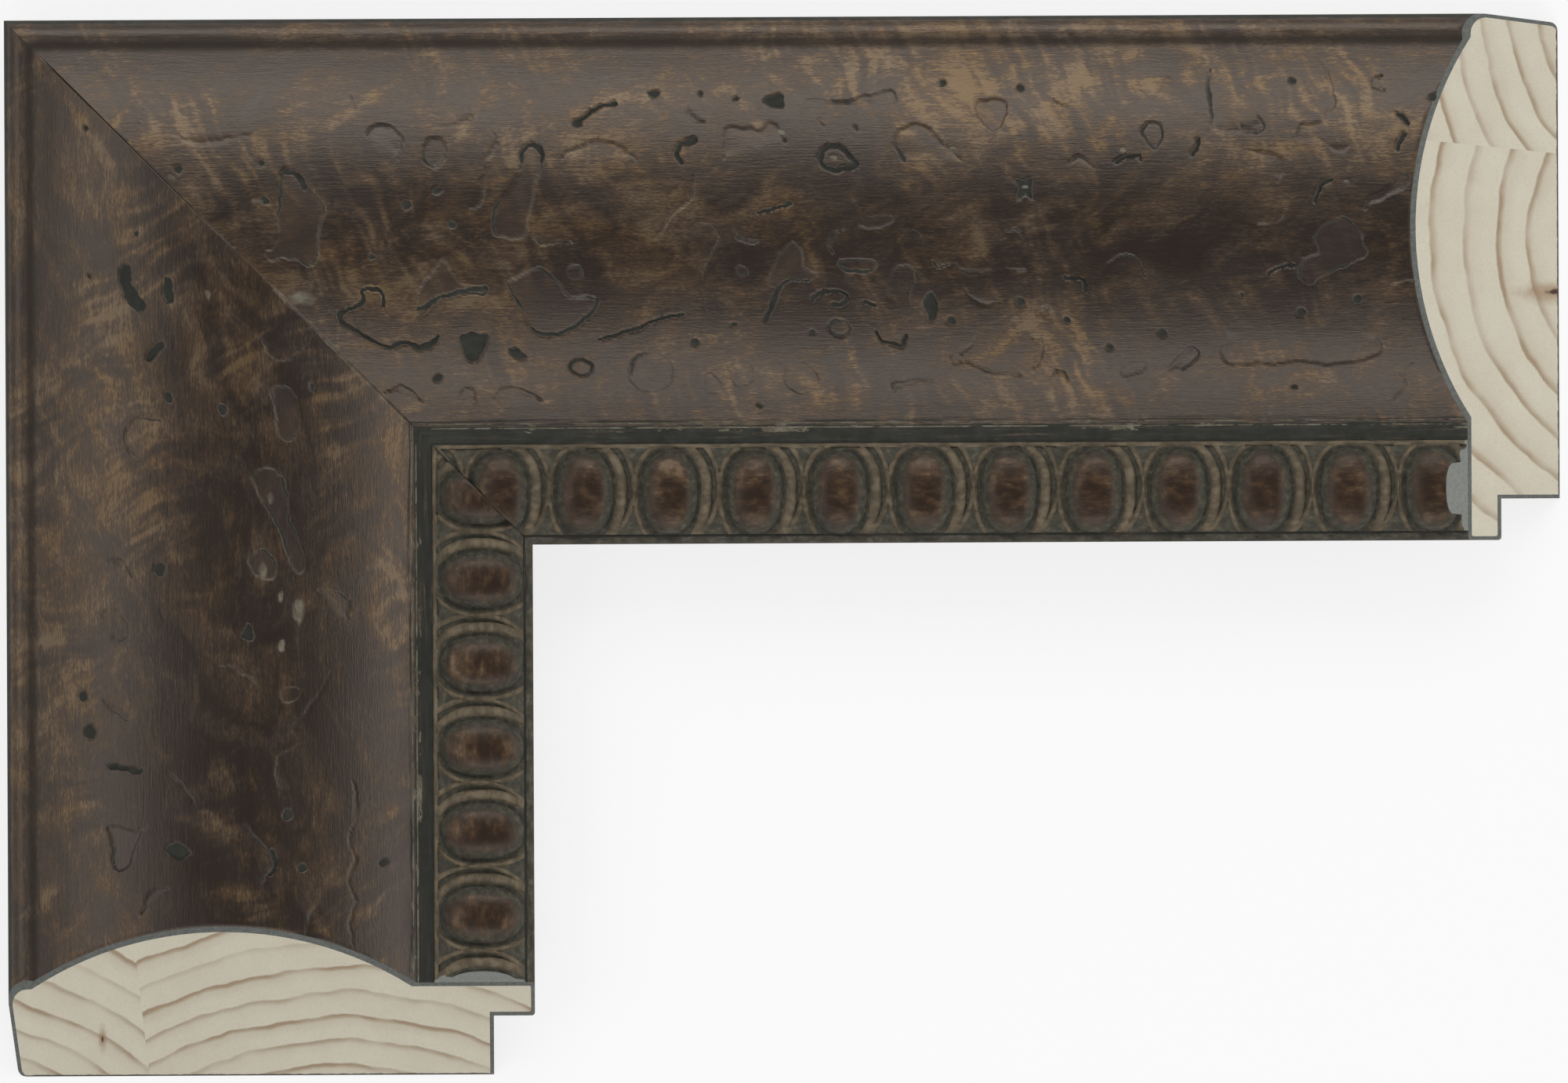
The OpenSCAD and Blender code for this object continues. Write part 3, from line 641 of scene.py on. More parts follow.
def egg_relief(rail, s, u):
    """Height above the flat, rubbed ridges, egg domes and lighter egg ends, partly rubbed bronze and partly
    painted highlight, at each point of the strip.
    """
    sway, drift = wander(s, u, 5.0, 11.0)
    s, u = s + 0.09 * sway, u + 0.09 * drift
    ground = bar_height(u, STRIP_EDGE, STRIP_GROUND)
    height = ground.copy()
    crest = bar_height(u, RIM_EDGE, RIM_TOP)
    rubbed, dome, bronzed = np.zeros((3, len(s)))
    for i in range(-1, int(rail.length / rail.pitch)):
        a = (s - rail.first_egg - i * rail.pitch) * rail.hand
        near = np.flatnonzero(np.abs(a) < ARC_HALF_W + 0.6)
        if not len(near):
            continue
        a, b = a[near], u[near] - CUP_U
        half_l = np.where(b < 0, CUP_UP, CUP_DOWN)
        out_of_cup = oval_distance(a, b, CUP_HALF_W, half_l, 2.2)
        shift = (CRESCENT_W - RIM_W) / 2
        half = CUP_HALF_W + (CRESCENT_W + RIM_W) / 2
        in_rim = -oval_distance(a - shift, b, half, half_l + 0.6, 2.2)
        past_arc = oval_distance(a, u[near] - ARC_U, ARC_HALF_W, ARC_HALF_L)
        raised = ridge(out_of_cup, in_rim)
        fade = np.interp(b, [-5.6, -4.2], [0.3, 1])
        raised = np.maximum(raised, ridge(past_arc, ARC_W - past_arc) * (a > 1) * fade)
        channel = smooth_step(0, 0.3, -in_rim) * smooth_step(0, 0.3, -past_arc) * (a > 0)
        here = height[near] - 0.4 * channel
        here = here + (crest[near] - ground[near]) * raised
        floor = bar_height(u[near], 0.1, CUP_FLOOR)
        bowl = floor + (here - floor) * smooth_step(-0.9, 0, out_of_cup)
        here = np.where(out_of_cup < 0, np.minimum(here, bowl), here)
        b = u[near] - EGG_U
        spread = ((np.abs(a) / EGG_HALF_W) ** 2.3 + (np.abs(b) / EGG_HALF_L) ** 2.3) ** (1 / 2.3)
        egg = STRIP_EDGE + (EGG_TOP - STRIP_EDGE) * np.maximum(1 - spread**2.6, 0) ** (1 / 2.6)
        blend = np.maximum(0.5 - np.abs(egg - here), 0) ** 2 / 2 * (spread < 1.15)
        height[near] = np.where(spread < 1.15, np.maximum(here, egg) + blend, here)
        spread = ((np.abs(a) / BROWN_HALF_W) ** 2.3 + (np.abs(b) / BROWN_HALF_L) ** 2.3) ** (1 / 2.3)
        worn = smooth_step(-0.16, 0.06, np.minimum(out_of_cup, in_rim))
        worn = np.maximum(worn, smooth_step(-0.2, 0.06, np.minimum(past_arc, ARC_W - past_arc)) * (a > 1))
        rubbed[near] = np.maximum(rubbed[near], worn * (spread > 1))
        dome[near] = np.maximum(dome[near], smooth_step(1.0, 0.78, spread))
        # Painted highlight: both ends of each egg are made lighter, the end towards the outer side more,
        # partly as rubbed bronze and partly as the highlight the light puts there.
        ends = np.maximum(smooth_step(0.5, -4.5, b), 0.7 * smooth_step(2.0, 5.5, b))
        bronzed[near] = np.maximum(bronzed[near], ends * smooth_step(1.0, 0.6, spread))
    border = ridge(u - STRIP_U, STRIP_U + BORDER_W - u)
    line = 0.2 + 0.35 * border
    height = np.where(u < STRIP_U + BORDER_W, line, height)
    rough, _ = wander(s, u, 0.8, 17.0)
    height = height + 0.03 * rough * (1 - dome)
    return height, np.maximum(rubbed, smooth_step(0.2, 0.6, border)), dome, bronzed


def strip_end(rail, u):
    """Where the surface of the strip meets the plane of the bevelled end, for each u."""
    first, last = np.full(len(u), rail.length - FLAT_V - EGG_TOP), rail.length - FLAT_V
    reach = first.copy()
    open_rows = np.ones(len(u), bool)
    for _ in range(END_STEPS):
        open_rows &= egg_relief(rail, reach, u)[0] < last - reach
        reach = np.where(open_rows, reach + EGG_TOP / END_STEPS, reach)
    return np.minimum(reach, last - 0.05)


def egg_strip(rail, columns, rows):
    """The pressed strip: eggs in hollow cups, with their rims, crescents and border line."""
    bm = bmesh.new()
    bmesh.ops.create_grid(bm, x_segments=columns, y_segments=rows, size=0.5)
    along, across = grid_shares(bm)
    u = STRIP_U + across * (STRIP_END_U - STRIP_U)
    row_u = np.linspace(STRIP_U, STRIP_END_U, rows + 1)
    reach = np.interp(u, row_u, strip_end(rail, row_u))
    s = np.minimum(u + along * (rail.length - FLAT_V - u), reach)
    height, rubbed, dome, bronzed = egg_relief(rail, s, u)
    away = (s - u) / math.sqrt(2)
    height = np.clip(height - 0.06 * smooth_step(0.2, 0.05, away), 0.12, None)
    height = np.minimum(height, rail.length - FLAT_V - s)
    place_vertices(bm, on_rail(rail, s, u, FLAT_V + height))
    seam = smooth_step(0.25, 0.08, away)
    set_values(bm, rubbed=rubbed * (1 - seam), dome=dome, bronzed=bronzed, paint=0.3 * seam)

    far = {vertex for vertex, share in zip(bm.verts, along) if share > 0.9999}
    rim = [edge for edge in bm.edges if edge.is_boundary]
    skirt = bmesh.ops.extrude_edge_only(bm, edges=rim)["geom"]
    sunk = {item for item in skirt if isinstance(item, bmesh.types.BMVert)}
    run = Vector(rail.along)
    for vertex in sunk:
        fall = vertex.co.z - FLAT_V * MM
        vertex.co.z -= fall
        if any(edge.other_vert(vertex) in far for edge in vertex.link_edges):
            vertex.co += run * fall
    for face in bm.faces:
        if sum(vertex in far for vertex in face.verts) == 2 and sunk.intersection(face.verts):
            face.material_index = 1
    bmesh.ops.holes_fill(bm, edges=[edge for edge in bm.edges if edge.is_boundary], sides=0)
    bmesh.ops.remove_doubles(bm, verts=bm.verts, dist=1e-7)
    return finish_piece(bm, rail.name + "_egg_ornament", rail, "finished_composition",
                        rail.name + "_egg_strip")


# Shader nodes

NO_KNOT = (0, -60, -60)
WARM_SHEEN = (1.0, 0.88, 0.76, 1)
PAPER_WHITE = (0.95, 0.95, 0.95, 1)
GLOW_SHARE = 0.78
LENS = 1170
CAMERA_AT = (0.00005, 0.0006, 8.0)
CAMERA_TURN = -0.275


def srgb(red, green, blue):
    """A colour as seen on screen, from 0 to 255, as the linear one that shaders take."""
    def linear(part):
        part = part / 255
        return part / 12.92 if part <= 0.04045 else ((part + 0.055) / 1.055) ** 2.4
    return (linear(red), linear(green), linear(blue), 1)


def add(tree, kind, inputs=None, **settings):
    """A new node with its settings, and its inputs set to numbers or linked to sockets."""
    made = tree.nodes.new(kind)
    for name, value in settings.items():
        setattr(made, name, value)
    for name, value in (inputs or {}).items():
        if isinstance(value, bpy.types.NodeSocket):
            tree.links.new(value, made.inputs[name])
        else:
            made.inputs[name].default_value = value
    return made


def maths(tree, operation, a, b=0.0, clamp=False):
    """The value of a sum of one or two values, kept within 0 to 1 if clamp is set."""
    return add(tree, "ShaderNodeMath", {0: a, 1: b}, operation=operation, use_clamp=clamp).outputs[0]


def times(tree, a, b, clamp=False):
    return maths(tree, "MULTIPLY", a, b, clamp)


def plus(tree, a, b, clamp=False):
    return maths(tree, "ADD", a, b, clamp)


def minus(tree, a, b, clamp=False):
    return maths(tree, "SUBTRACT", a, b, clamp)


def larger(tree, a, b):
    return maths(tree, "MAXIMUM", a, b)


def mixed(tree, share, a, b, blend="MIX"):
    """Colour a with a share of colour b over it."""
    made = add(tree, "ShaderNodeMix", {0: share, 6: a, 7: b}, data_type="RGBA", blend_type=blend)
    return made.outputs[2]


def band(tree, value, start, end):
    """0 up to start, 1 past end, and smooth between; the other way round if end is below start."""
    low, high, first, last = (start, end, 0, 1) if start < end else (end, start, 1, 0)
    sockets = {"Value": value, 1: low, 2: high, 3: first, 4: last}
    return add(tree, "ShaderNodeMapRange", sockets, interpolation_type="SMOOTHSTEP").outputs[0]


def ramp(tree, value, *stops):
    """Colours along a value, given as (place, colour)."""
    made = add(tree, "ShaderNodeValToRGB", {0: value})
    while len(made.color_ramp.elements) < len(stops):
        made.color_ramp.elements.new(0.5)
    for element, (place, colour) in zip(made.color_ramp.elements, stops):
        element.position, element.color = place, colour
    return made.outputs[0]


def cloud(tree, vector, size_s, size_u, detail=3.0, distortion=0.0, turn=0.0, roughness=0.55):
    """Noise whose blots are about size_s long on the rail and size_u across it."""
    scale = (1 / size_s, 1 / size_u, 1 / size_u)
    turned = add(tree, "ShaderNodeMapping", {"Vector": vector, "Rotation": (0, 0, math.radians(turn))})
    mapped = add(tree, "ShaderNodeMapping", {"Vector": turned.outputs[0], "Scale": scale})
    sockets = {"Vector": mapped.outputs[0], "Scale": 1.0, "Detail": detail,
               "Roughness": roughness, "Distortion": distortion}
    return add(tree, "ShaderNodeTexNoise", sockets).outputs[0]


def new_group(name, inputs, outputs):
    """An empty node group with its named sockets, as (tree, inputs, outputs)."""
    tree = bpy.data.node_groups.new(name, "ShaderNodeTree")
    for socket, (kind, value) in inputs.items():
        made = tree.interface.new_socket(socket, in_out="INPUT", socket_type="NodeSocket" + kind)
        if value is not None:
            made.default_value = value
    for socket, kind in outputs.items():
        tree.interface.new_socket(socket, in_out="OUTPUT", socket_type="NodeSocket" + kind)
    return tree, tree.nodes.new("NodeGroupInput").outputs, tree.nodes.new("NodeGroupOutput").inputs


def use_group(tree, group, inputs):
    """The outputs of a node group placed in a tree with its own values."""
    return add(tree, "ShaderNodeGroup", inputs, node_tree=group).outputs


def mottled_finish_group():
    """Dark brown glaze over bronze, brushed along the rail and crossed by a burl figure."""
    tree, given, out = new_group(
        "mottled brown finish",
        {"Rail Place": ("Vector", None), "Lightness": ("Float", 0.0)},
        {"Color": "Color", "Bronze": "Float", "Roughness": "Float", "Height": "Float"},
    )
    place = given["Rail Place"]
    sway = add(tree, "ShaderNodeTexNoise", {"Vector": place, "Scale": 1 / 20, "Detail": 2.0}).outputs[1]
    bent = add(tree, "ShaderNodeVectorMath", {0: sway, 1: (14, 8, 0), 2: place}, operation="MULTIPLY_ADD")
    bent = bent.outputs[0]
    patches = cloud(tree, place, 42, 24, detail=3, distortion=0.6)
    blots = cloud(tree, bent, 11, 6.5, detail=5, distortion=1.0, turn=25, roughness=0.55)
    flecks = cloud(tree, bent, 2.6, 0.8, detail=4, distortion=0.5, roughness=0.6)
    brushed = cloud(tree, place, 4.5, 0.33, detail=3, roughness=0.6)
    grain = cloud(tree, place, 0.8, 0.2, detail=2)
    curl = cloud(tree, bent, 1.8, 13, detail=1, turn=26)
    curl_places = band(tree, cloud(tree, place, 26, 19, detail=2), 0.42, 0.6)
    crossed = times(tree, minus(tree, curl, 0.5), curl_places)
    tone = plus(tree, given["Lightness"], times(tree, crossed, 1.2))
    for part, weight in [(patches, 0.9), (blots, 1.4), (flecks, 0.6), (brushed, 0.5), (grain, 0.9)]:
        share = times(tree, minus(tree, part, 0.5), weight)
        tone = plus(tree, tone, share)
    tone = plus(tree, tone, 0.5)
    colour = ramp(tree, tone,
                  (0.26, srgb(35, 26, 22)), (0.4, srgb(48, 37, 29)), (0.5, srgb(60, 47, 36)),
                  (0.62, srgb(79, 63, 49)), (0.82, srgb(110, 93, 72)))
    hue = band(tree, cloud(tree, bent, 15, 8, detail=4, turn=-20, roughness=0.65), 0.36, 0.64)
    tint = mixed(tree, hue, (1.0, 0.93, 0.8, 1), (1.0, 1.03, 1.1, 1))
    tree.links.new(mixed(tree, 1.0, colour, tint, "MULTIPLY"), out["Color"])
    tree.links.new(times(tree, band(tree, tone, 0.36, 0.84), 0.5), out["Bronze"])
    tree.links.new(plus(tree, times(tree, blots, 0.2), 0.28), out["Roughness"])
    height = plus(tree, times(tree, brushed, 0.6), times(tree, grain, 0.4))
    tree.links.new(height, out["Height"])
    return tree


def pooled_paint_group():
    """The matt greenish paint that lies in the hollows, and the pale wear on raised places."""
    tree, given, out = new_group(
        "settled paint and wear",
        {"Rail Place": ("Vector", None), "Color": ("Color", None), "Paint": ("Color", None),
         "Wear": ("Color", None), "Settled": ("Float", 0.0), "Worn": ("Float", 0.0)},
        {"Color": "Color", "Matt": "Float", "Broken": "Float"},
    )
    place = given["Rail Place"]
    broken = cloud(tree, place, 1.3, 0.9, detail=5, roughness=0.65)
    pooled = band(tree, cloud(tree, place, 2, 1.4, detail=4), 0.7, 0.3)
    paint = mixed(tree, pooled, given["Paint"], srgb(23, 30, 28))
    smudged = band(tree, cloud(tree, place, 2.4, 1.3, detail=3), 0.7, 0.35)
    worn = mixed(tree, smudged, given["Wear"], srgb(84, 76, 62))
    settled = minus(tree, given["Settled"], times(tree, broken, 0.35))
    settled = band(tree, settled, 0.0, 0.5)
    worn_share = minus(tree, given["Worn"], times(tree, broken, 0.5))
    worn_share = band(tree, worn_share, 0.0, 0.4)
    colour = mixed(tree, settled, given["Color"], paint)
    tree.links.new(mixed(tree, worn_share, colour, worn), out["Color"])
    tree.links.new(larger(tree, settled, worn_share), out["Matt"])
    tree.links.new(broken, out["Broken"])
    return tree


def pine_group():
    """End grain and long grain of pine: rings about a pith that runs along the rail."""
    tree, given, out = new_group(
        "pine",
        {"Rail Place": ("Vector", None), "Pith": ("Vector", None), "Ring Width": ("Float", 5.0),
         "First Ring": ("Float", 0.0), "Knot": ("Vector", None), "Knot Size": ("Float", 1.0)},
        {"Color": "Color", "Height": "Float"},
    )
    place = given["Rail Place"]
    across = add(tree, "ShaderNodeVectorMath", {0: place, 1: (0.012, 1, 1)}, operation="MULTIPLY")
    from_pith = add(tree, "ShaderNodeVectorMath", {0: across.outputs[0], 1: given["Pith"]},
                    operation="SUBTRACT")
    radius = add(tree, "ShaderNodeVectorMath", {0: from_pith.outputs[0]}, operation="LENGTH")
    waver = cloud(tree, place, 60, 13, detail=2)
    ragged = cloud(tree, place, 8, 1.6, detail=2)
    swelled = plus(tree, radius.outputs["Value"], times(tree, waver, 3.0))
    swelled = plus(tree, swelled, times(tree, ragged, 0.3))
    turns = maths(tree, "DIVIDE", minus(tree, swelled, given["First Ring"]),
                  given["Ring Width"])
    year = add(tree, "ShaderNodeTexWhiteNoise", {"W": maths(tree, "FLOOR", turns)},
               noise_dimensions="1D").outputs["Value"]
    ring = maths(tree, "FRACT", turns)
    late = times(tree, band(tree, ring, 0.72, 0.95), band(tree, ring, 1.0, 0.94))
    soft = times(tree, band(tree, ring, 0.3, 0.95), 0.3)
    strength = band(tree, cloud(tree, place, 40, 9, detail=2), 0.3, 0.65)
    strength = times(tree, plus(tree, strength, 0.7), plus(tree, year, 0.4))
    ringed = times(tree, plus(tree, late, soft), times(tree, strength, 0.45),
                   clamp=True)
    fibres = cloud(tree, place, 3.0, 0.16, detail=2)
    cells = cloud(tree, place, 1.0, 0.3, detail=3, roughness=0.7)
    stain = cloud(tree, place, 20, 8, detail=3)
    pale = mixed(tree, stain, srgb(226, 220, 202), srgb(211, 203, 182))
    colour = mixed(tree, ringed, pale, srgb(164, 141, 114))
    colour = mixed(tree, times(tree, fibres, 0.2), colour, srgb(182, 170, 145))
    colour = mixed(tree, times(tree, band(tree, cells, 0.45, 0.8), 0.3), colour,
                   srgb(176, 164, 140))
    to_knot = add(tree, "ShaderNodeVectorMath", {0: place, 1: given["Knot"]}, operation="SUBTRACT")
    to_knot = add(tree, "ShaderNodeVectorMath", {0: to_knot.outputs[0], 1: (0.1, 0.7, 0.2)},
                  operation="MULTIPLY")
    knot_away = add(tree, "ShaderNodeVectorMath", {0: to_knot.outputs[0]}, operation="LENGTH")
    knot_away = maths(tree, "DIVIDE", knot_away.outputs["Value"], given["Knot Size"])
    knot_away = plus(tree, knot_away, times(tree, ragged, 1.0))
    colour = mixed(tree, times(tree, band(tree, knot_away, 2.2, 0.6), 0.7), colour,
                   srgb(152, 116, 82))
    colour = mixed(tree, band(tree, knot_away, 0.85, 0.55), colour, srgb(72, 52, 38))
    tree.links.new(colour, out["Color"])
    tree.links.new(plus(tree, fibres, times(tree, late, 0.15)), out["Height"])
    return tree


def rail_place(tree, rail):
    """The object's own coordinates, as (s, u, v) on the rail in millimetres."""
    scale = (1 / MM, (-1 if rail.turn == 0 else 1) / MM, 1 / MM)
    start = (-CORNER[0], CORNER[1], 0) if rail.turn == 0 else (CORNER[1], -CORNER[0], 0)
    sockets = {"Vector": add(tree, "ShaderNodeTexCoord").outputs["Object"], "Scale": scale,
               "Rotation": (0, 0, math.radians(rail.turn)), "Location": start}
    return add(tree, "ShaderNodeMapping", sockets).outputs[0]


def new_material(name):
    """An empty material, as (material, its tree)."""
    made = bpy.data.materials.new(name)
    made.use_nodes = True
    made.node_tree.nodes.clear()
    return made, made.node_tree


def close_material(tree, colour, roughness, height, depth, metal=0.0):
    """The surface shader, with its bump depth in metres."""
    bump = add(tree, "ShaderNodeBump", {"Height": height, "Distance": depth})
    surface = add(tree, "ShaderNodeBsdfPrincipled", {
        "Base Color": colour, "Roughness": roughness, "Metallic": metal, "Normal": bump.outputs[0]})
    add(tree, "ShaderNodeOutputMaterial", {"Surface": surface.outputs[0]})
    return surface.inputs


def stored(tree, name):
    """The number stored under a name at each vertex."""
    return add(tree, "ShaderNodeAttribute", attribute_name=name).outputs["Fac"]


def stripe(tree, value, start, end, soft):
    """1 between start and end, with soft edges."""
    rise = band(tree, value, start - soft, start + soft)
    return times(tree, rise, band(tree, value, end + soft, end - soft))


def finished_face_material(rail, groups):
    """The mottled finish of the coat, with painted light and shade: a painted sheen on the flanks, painted
    shade on the inner flank, in the outer corner and in the groove behind the bead, and darker towards the
    far end; with painted edges and a rubbed lip.
    """
    made, tree = new_material(rail.name + " brown and bronze finish")
    on_top = rail is TOP
    place = rail_place(tree, rail)
    s, u, v = add(tree, "ShaderNodeSeparateXYZ", {0: place}).outputs
    wobble = cloud(tree, place, 4, 4, detail=4)
    edge_u = plus(tree, u, times(tree, minus(tree, wobble, 0.5), 0.45))
    shift = (-74, 0, 0) if on_top else (0, 0, 0)
    mirrored = add(tree, "ShaderNodeVectorMath", {0: place, 1: (rail.hand, 1, 1), 2: shift},
                   operation="MULTIPLY_ADD")
    # Painted light and shade: a painted sheen makes the flanks away from the crown lighter than the crown,
    # and painted shade makes the inner flank and the outer corner darker, where less light falls.
    from_crown = maths(tree, "ABSOLUTE", minus(tree, u, CROWN_U + 1))
    painted_light_and_shade = times(tree, band(tree, from_crown, 8, 22), 0.07 if on_top else 0.185)
    painted_light_and_shade = minus(tree, painted_light_and_shade, 0.06 if on_top else 0.105)
    # Darker towards the far end of the rail; on the side rail this is painted shade, where the light falls
    # off towards its lower end.
    far_along = band(tree, s, *(175, 225) if on_top else (72, 130))
    far_along = times(tree, far_along, 0.11 if on_top else 0.19)
    inner_flank_shade = times(tree, band(tree, u, 45, 58), 0.03 if on_top else 0.09)
    outer_corner_shade = times(tree, band(tree, s, 65, 20), band(tree, u, 12, 5))
    outer_corner_shade = times(tree, outer_corner_shade, 0.12)
    for darker in [far_along, inner_flank_shade, outer_corner_shade]:
        painted_light_and_shade = minus(tree, painted_light_and_shade, darker)
    finish = use_group(tree, groups["finish"], {"Rail Place": mirrored.outputs[0],
                                                "Lightness": painted_light_and_shade})
    flaked = times(tree, stored(tree, "flaked"), 0.4)
    colour = mixed(tree, flaked, finish["Color"], srgb(56, 47, 44))
    chipped = cloud(tree, place, 6, 2, detail=5, roughness=0.7)
    near_lip = plus(tree, stripe(tree, u, 63.45, 63.7, 0.12), stripe(tree, u, 64.15, 64.4, 0.12))
    flecked = times(tree, stripe(tree, u, 63.3, 65.0, 0.4), band(tree, chipped, 0.56, 0.66))
    lip = times(tree, near_lip, band(tree, chipped, 0.36, 0.5))
    lip = larger(tree, times(tree, lip, 0.75), flecked)
    sight = times(tree, stripe(tree, edge_u, 81.3, 82.9, 0.2), 0.4)
    lip = larger(tree, lip, sight)
    uneven = cloud(tree, place, 14, 0.5, detail=5, roughness=0.6)
    fillet = minus(tree, 1.6, times(tree, uneven, 1.8))
    fillet = times(tree, band(tree, edge_u, 63.75, 64.1), fillet)
    rims = larger(tree, band(tree, edge_u, 81.0, 81.3), band(tree, edge_u, 1.1, 0.3))
    rims = larger(tree, rims, band(tree, v, 12.6, 11.6))
    fillet = larger(tree, fillet, times(tree, rims, 0.6))
    smeared = times(tree, stripe(tree, edge_u, 62.8, 64.0, 0.6), band(tree, uneven, 0.4, 0.6))
    fillet = larger(tree, fillet, times(tree, smeared, 0.6))
    # The groove between the bead and the arch is made dark and matt: the dark colour is partly painted
    # shade, where the bead shades the groove, and partly matt paint.
    groove_shade_and_matt = stripe(tree, edge_u, 3.1, 4.8, 0.7)
    colour = mixed(tree, times(tree, groove_shade_and_matt, 0.8), colour, srgb(34, 28, 24))
    # The stored paint that settles here includes the painted shade inside flakes.
    settled = use_group(tree, groups["paint"], {
        "Rail Place": place, "Color": colour, "Wear": srgb(120, 116, 102),
        "Paint": srgb(40, 46, 43) if on_top else srgb(34, 40, 37),
        "Settled": larger(tree, fillet, stored(tree, "paint")),
        "Worn": larger(tree, lip, stored(tree, "pale"))})
    matt = times(tree, larger(tree, settled["Matt"], groove_shade_and_matt), 0.5)
    roughness = plus(tree, finish["Roughness"], matt, clamp=True)
    shown = minus(tree, finish["Bronze"], times(tree, matt, 2), clamp=True)
    height = plus(tree, finish["Height"], times(tree, settled["Broken"], 0.5))
    surface = close_material(tree, settled["Color"], roughness, height, 0.00006, shown)
    surface["IOR"].default_value = 1.65
    surface["Specular Tint"].default_value = WARM_SHEEN
    return made


def egg_ornament_material(rail, groups):
    """Brown eggs in greenish hollows, with rubbed rims and crescents, and lighter egg ends, partly rubbed
    bronze and partly painted highlight.
    """
    made, tree = new_material(rail.name + " egg ornament finish")
    place = rail_place(tree, rail)
    hollows = ramp(tree, cloud(tree, place, 1.4, 1.0, detail=6, roughness=0.65),
                   (0.32, srgb(47, 48, 42)), (0.52, srgb(69, 68, 59)), (0.72, srgb(98, 94, 79)))
    each_egg = cloud(tree, place, 16, 30, detail=1)
    streaks = cloud(tree, place, 2.2, 0.5, detail=4)
    # The lighter egg ends are partly rubbed bronze and partly a painted highlight.
    bronzed = times(tree, stored(tree, "bronzed"), band(tree, each_egg, 0.3, 0.7))
    mottled = cloud(tree, place, 2.6, 1.8, detail=5, roughness=0.6)
    mottled = plus(tree, times(tree, mottled, 2.4), times(tree, streaks, 0.6))
    bronzed = plus(tree, times(tree, bronzed, 0.6), mottled)
    egg = ramp(tree, minus(tree, bronzed, 1.3),
               (0.0, srgb(40, 27, 18)), (0.3, srgb(54, 38, 26)), (0.6, srgb(77, 58, 41)),
               (0.95, srgb(108, 89, 67)))
    colour = mixed(tree, stored(tree, "dome"), hollows, egg)
    settled = use_group(tree, groups["paint"], {
        "Rail Place": place, "Color": colour, "Paint": srgb(43, 50, 47), "Wear": srgb(118, 106, 87),
        "Settled": stored(tree, "paint"), "Worn": times(tree, stored(tree, "rubbed"), 1.2)})
    height = plus(tree, times(tree, streaks, 0.4), settled["Broken"])
    smooth = times(tree, stored(tree, "dome"), 0.4)
    surface = close_material(tree, settled["Color"], minus(tree, 0.8, smooth), height, 0.00008)
    surface["Specular Tint"].default_value = WARM_SHEEN
    return made


def cut_material(name, dark, light):
    """A sawn face of gesso or composition."""
    made, tree = new_material(name)
    place = rail_place(tree, TOP)
    grit = cloud(tree, place, 0.5, 0.5, detail=4)
    close_material(tree, ramp(tree, grit, (0.3, dark), (0.7, light)), 0.85, grit, 0.00005)
    return made


def pine_material(rail, stave, group, pith, ring_width, first_ring, knot, knot_size=1.0):
    """Bare pine at the sawn end, with a film of dark paint on the back."""
    made, tree = new_material(f"{rail.name} {stave} pine")
    place = rail_place(tree, rail)
    pine = use_group(tree, group, {"Rail Place": place, "Pith": (0, *pith), "Knot": knot,
                                   "Knot Size": knot_size, "Ring Width": ring_width,
                                   "First Ring": first_ring})
    v = add(tree, "ShaderNodeSeparateXYZ", {0: place}).outputs[2]
    smear = cloud(tree, place, 14, 1.2, detail=4)
    edge = minus(tree, v, times(tree, smear, 0.35))
    painted = band(tree, edge, 0.12, -0.02)
    film = ramp(tree, smear, (0.3, srgb(52, 50, 45)), (0.7, srgb(78, 74, 66)))
    colour = mixed(tree, painted, pine["Color"], film)
    close_material(tree, colour, 0.8, pine["Height"], 0.00008)
    return made


# The stage

def floor():
    """A pale floor that stays white to the camera and keeps a soft shadow."""
    bm = bmesh.new()
    bmesh.ops.create_grid(bm, x_segments=1, y_segments=1, size=4)
    mesh = bpy.data.meshes.new("floor")
    bm.to_mesh(mesh)
    bm.free()
    made = bpy.data.objects.new("floor", mesh)
    made.location.z = -0.0001
    bpy.context.scene.collection.objects.link(made)
    material, tree = new_material("pale floor")
    paper = add(tree, "ShaderNodeBsdfDiffuse", {"Color": PAPER_WHITE})
    glow = add(tree, "ShaderNodeEmission", {"Color": (1, 1, 1, 1), "Strength": 1.0})
    path = add(tree, "ShaderNodeLightPath").outputs
    seen = plus(tree, path["Is Camera Ray"], path["Is Glossy Ray"])
    share = times(tree, seen, GLOW_SHARE)
    surface = add(tree, "ShaderNodeMixShader", {0: share, 1: paper.outputs[0], 2: glow.outputs[0]})
    add(tree, "ShaderNodeOutputMaterial", {"Surface": surface.outputs[0]})
    mesh.materials.append(material)


def softbox(name, azimuth, elevation, strength, size, distance=1.5):
    """A large soft light aimed at the object. Azimuth 0 is the far side, towards +Y."""
    data = bpy.data.lights.new(name, "AREA")
    data.shape = "RECTANGLE"
    data.size, data.size_y = size
    data.energy = strength * math.pi * size[0] * size[1]
    lamp = bpy.data.objects.new(name, data)
    turn, rise = math.radians(azimuth), math.radians(elevation)
    away = Vector((math.sin(turn) * math.cos(rise), math.cos(turn) * math.cos(rise), math.sin(rise)))
    lamp.location = away * distance
    lamp.rotation_euler = away.to_track_quat("Z", "Y").to_euler()
    bpy.context.scene.collection.objects.link(lamp)


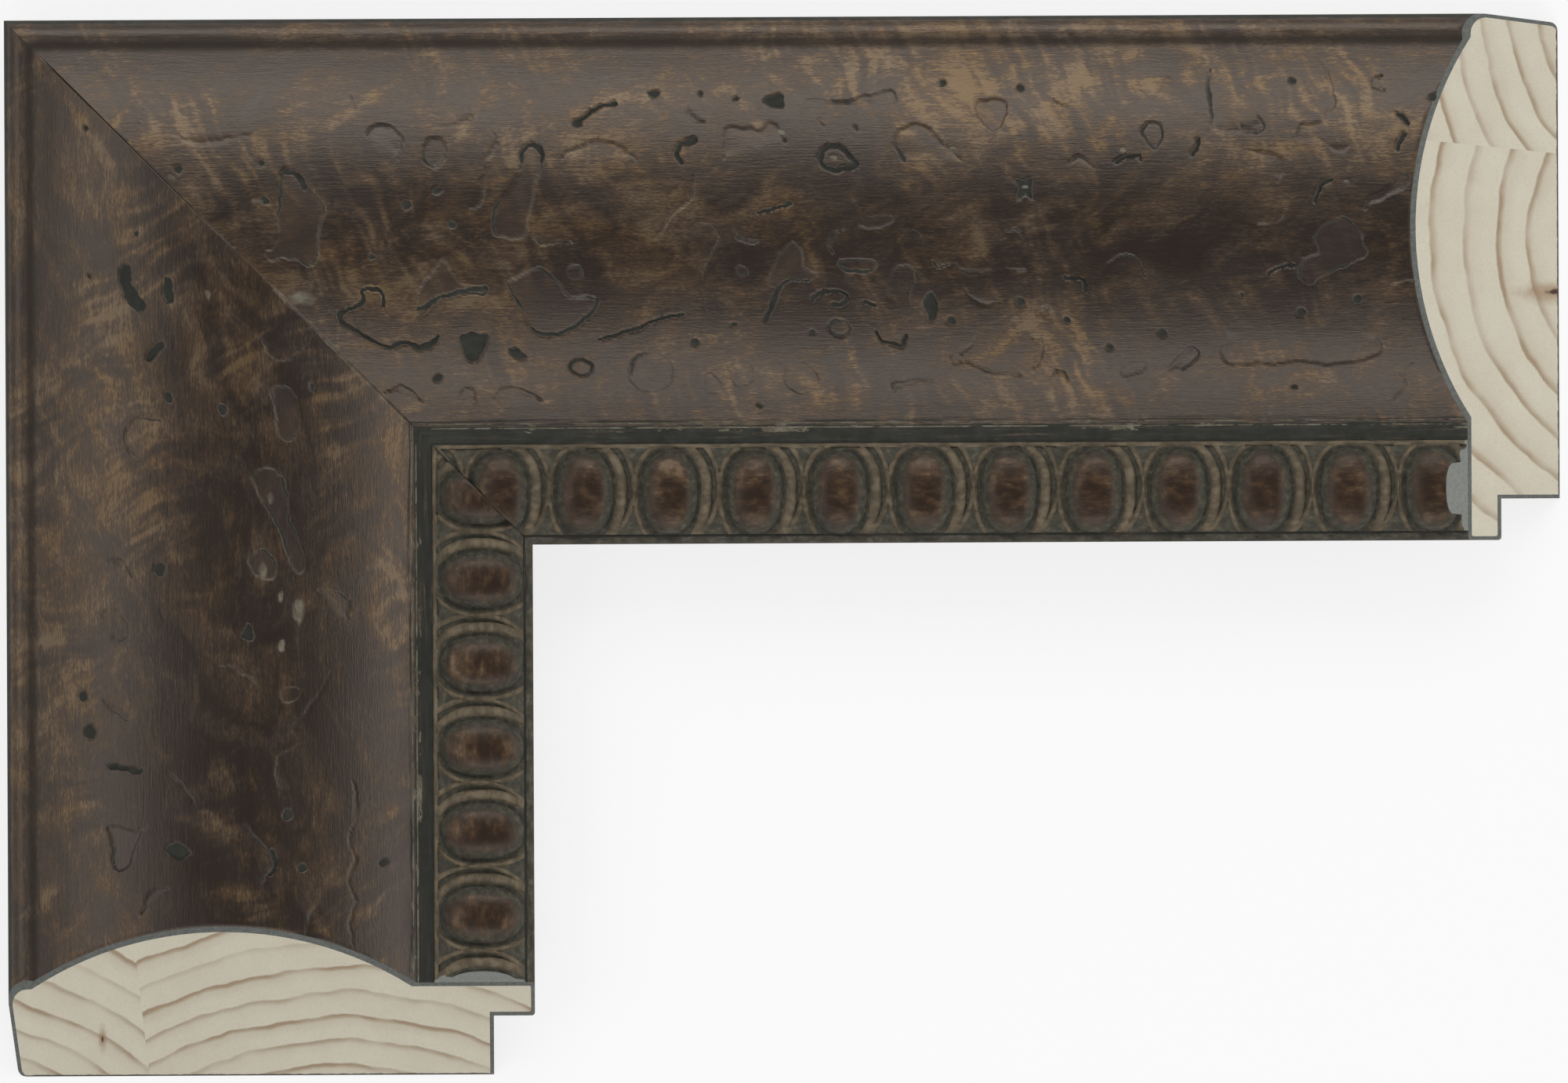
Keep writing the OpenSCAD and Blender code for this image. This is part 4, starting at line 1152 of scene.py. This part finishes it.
def studio():
    """Four soft lights low round the object and a sky that is pale only near the horizon."""
    softbox("far softbox", 0, 44, 2.8, (1.5, 0.75))
    softbox("near softbox", 180, 43, 2.4, (1.5, 0.65))
    softbox("left softbox", -90, 48, 1.6, (1.2, 0.7))
    softbox("right softbox", 90, 28, 1.6, (1.4, 0.95))
    world = bpy.data.worlds.new("soft studio")
    bpy.context.scene.world = world
    world.use_nodes = True
    tree = world.node_tree
    tree.nodes.clear()
    up = add(tree, "ShaderNodeTexCoord").outputs["Generated"]
    rise = add(tree, "ShaderNodeSeparateXYZ", {0: up}).outputs[2]
    grey = ramp(tree, rise, (0.1, (0.6, 0.6, 0.6, 1)), (0.6, (0.09, 0.09, 0.09, 1)))
    sky = add(tree, "ShaderNodeBackground", {"Color": grey, "Strength": 1.0})
    add(tree, "ShaderNodeOutputWorld", {"Surface": sky.outputs[0]})


def camera():
    """A long lens straight above the face, turned as little as the photograph is."""
    data = bpy.data.cameras.new("camera")
    data.sensor_width = 36
    data.lens = LENS
    made = bpy.data.objects.new("camera", data)
    made.location = CAMERA_AT
    made.rotation_euler = (0, 0, math.radians(CAMERA_TURN))
    bpy.context.scene.collection.objects.link(made)
    bpy.context.scene.camera = made


def dress_rail(rail, groups, columns, strip_columns, marks):
    """The finished face and the egg ornament of a rail, with their materials."""
    coat = gesso_coat(rail, columns, marks)
    coat.data.materials.append(finished_face_material(rail, groups))
    coat.data.materials.append(cut_material(rail.name + " cut gesso", srgb(84, 88, 85), srgb(112, 114, 109)))
    strip = egg_strip(rail, strip_columns, STRIP_ROWS)
    strip.data.materials.append(egg_ornament_material(rail, groups))
    strip.data.materials.append(cut_material(rail.name + " cut composition", srgb(122, 126, 121),
                                             srgb(138, 141, 135)))


def set_pine(rail, stave, *values):
    """Gives a stave's own mesh its pine material."""
    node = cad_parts[f"{rail.name}_{stave}_stave"]
    node.material_slots[0].material = pine_material(rail, stave, *values)


groups = {"finish": mottled_finish_group(), "paint": pooled_paint_group()}
pine = pine_group()
dress_rail(TOP, groups, 236, 1200, TOP_MARKS)
dress_rail(SIDE, groups, 160, 800, SIDE_MARKS)
set_pine(TOP, "outer", pine, (-3.0, -30.0), 4.6, 3.0, NO_KNOT)
set_pine(TOP, "inner", pine, (34.8, -26.7), 5.3, 1.6, (243, 43.7, 1.2))
set_pine(SIDE, "outer", pine, (-10.0, -32.0), 4.2, 1.0, (160, 14.6, 6.0), 0.4)
set_pine(SIDE, "inner", pine, (52.6, -52.0), 3.9, 0.8, NO_KNOT)
floor()
studio()
camera()
bpy.context.scene.view_settings.view_transform = "Standard"
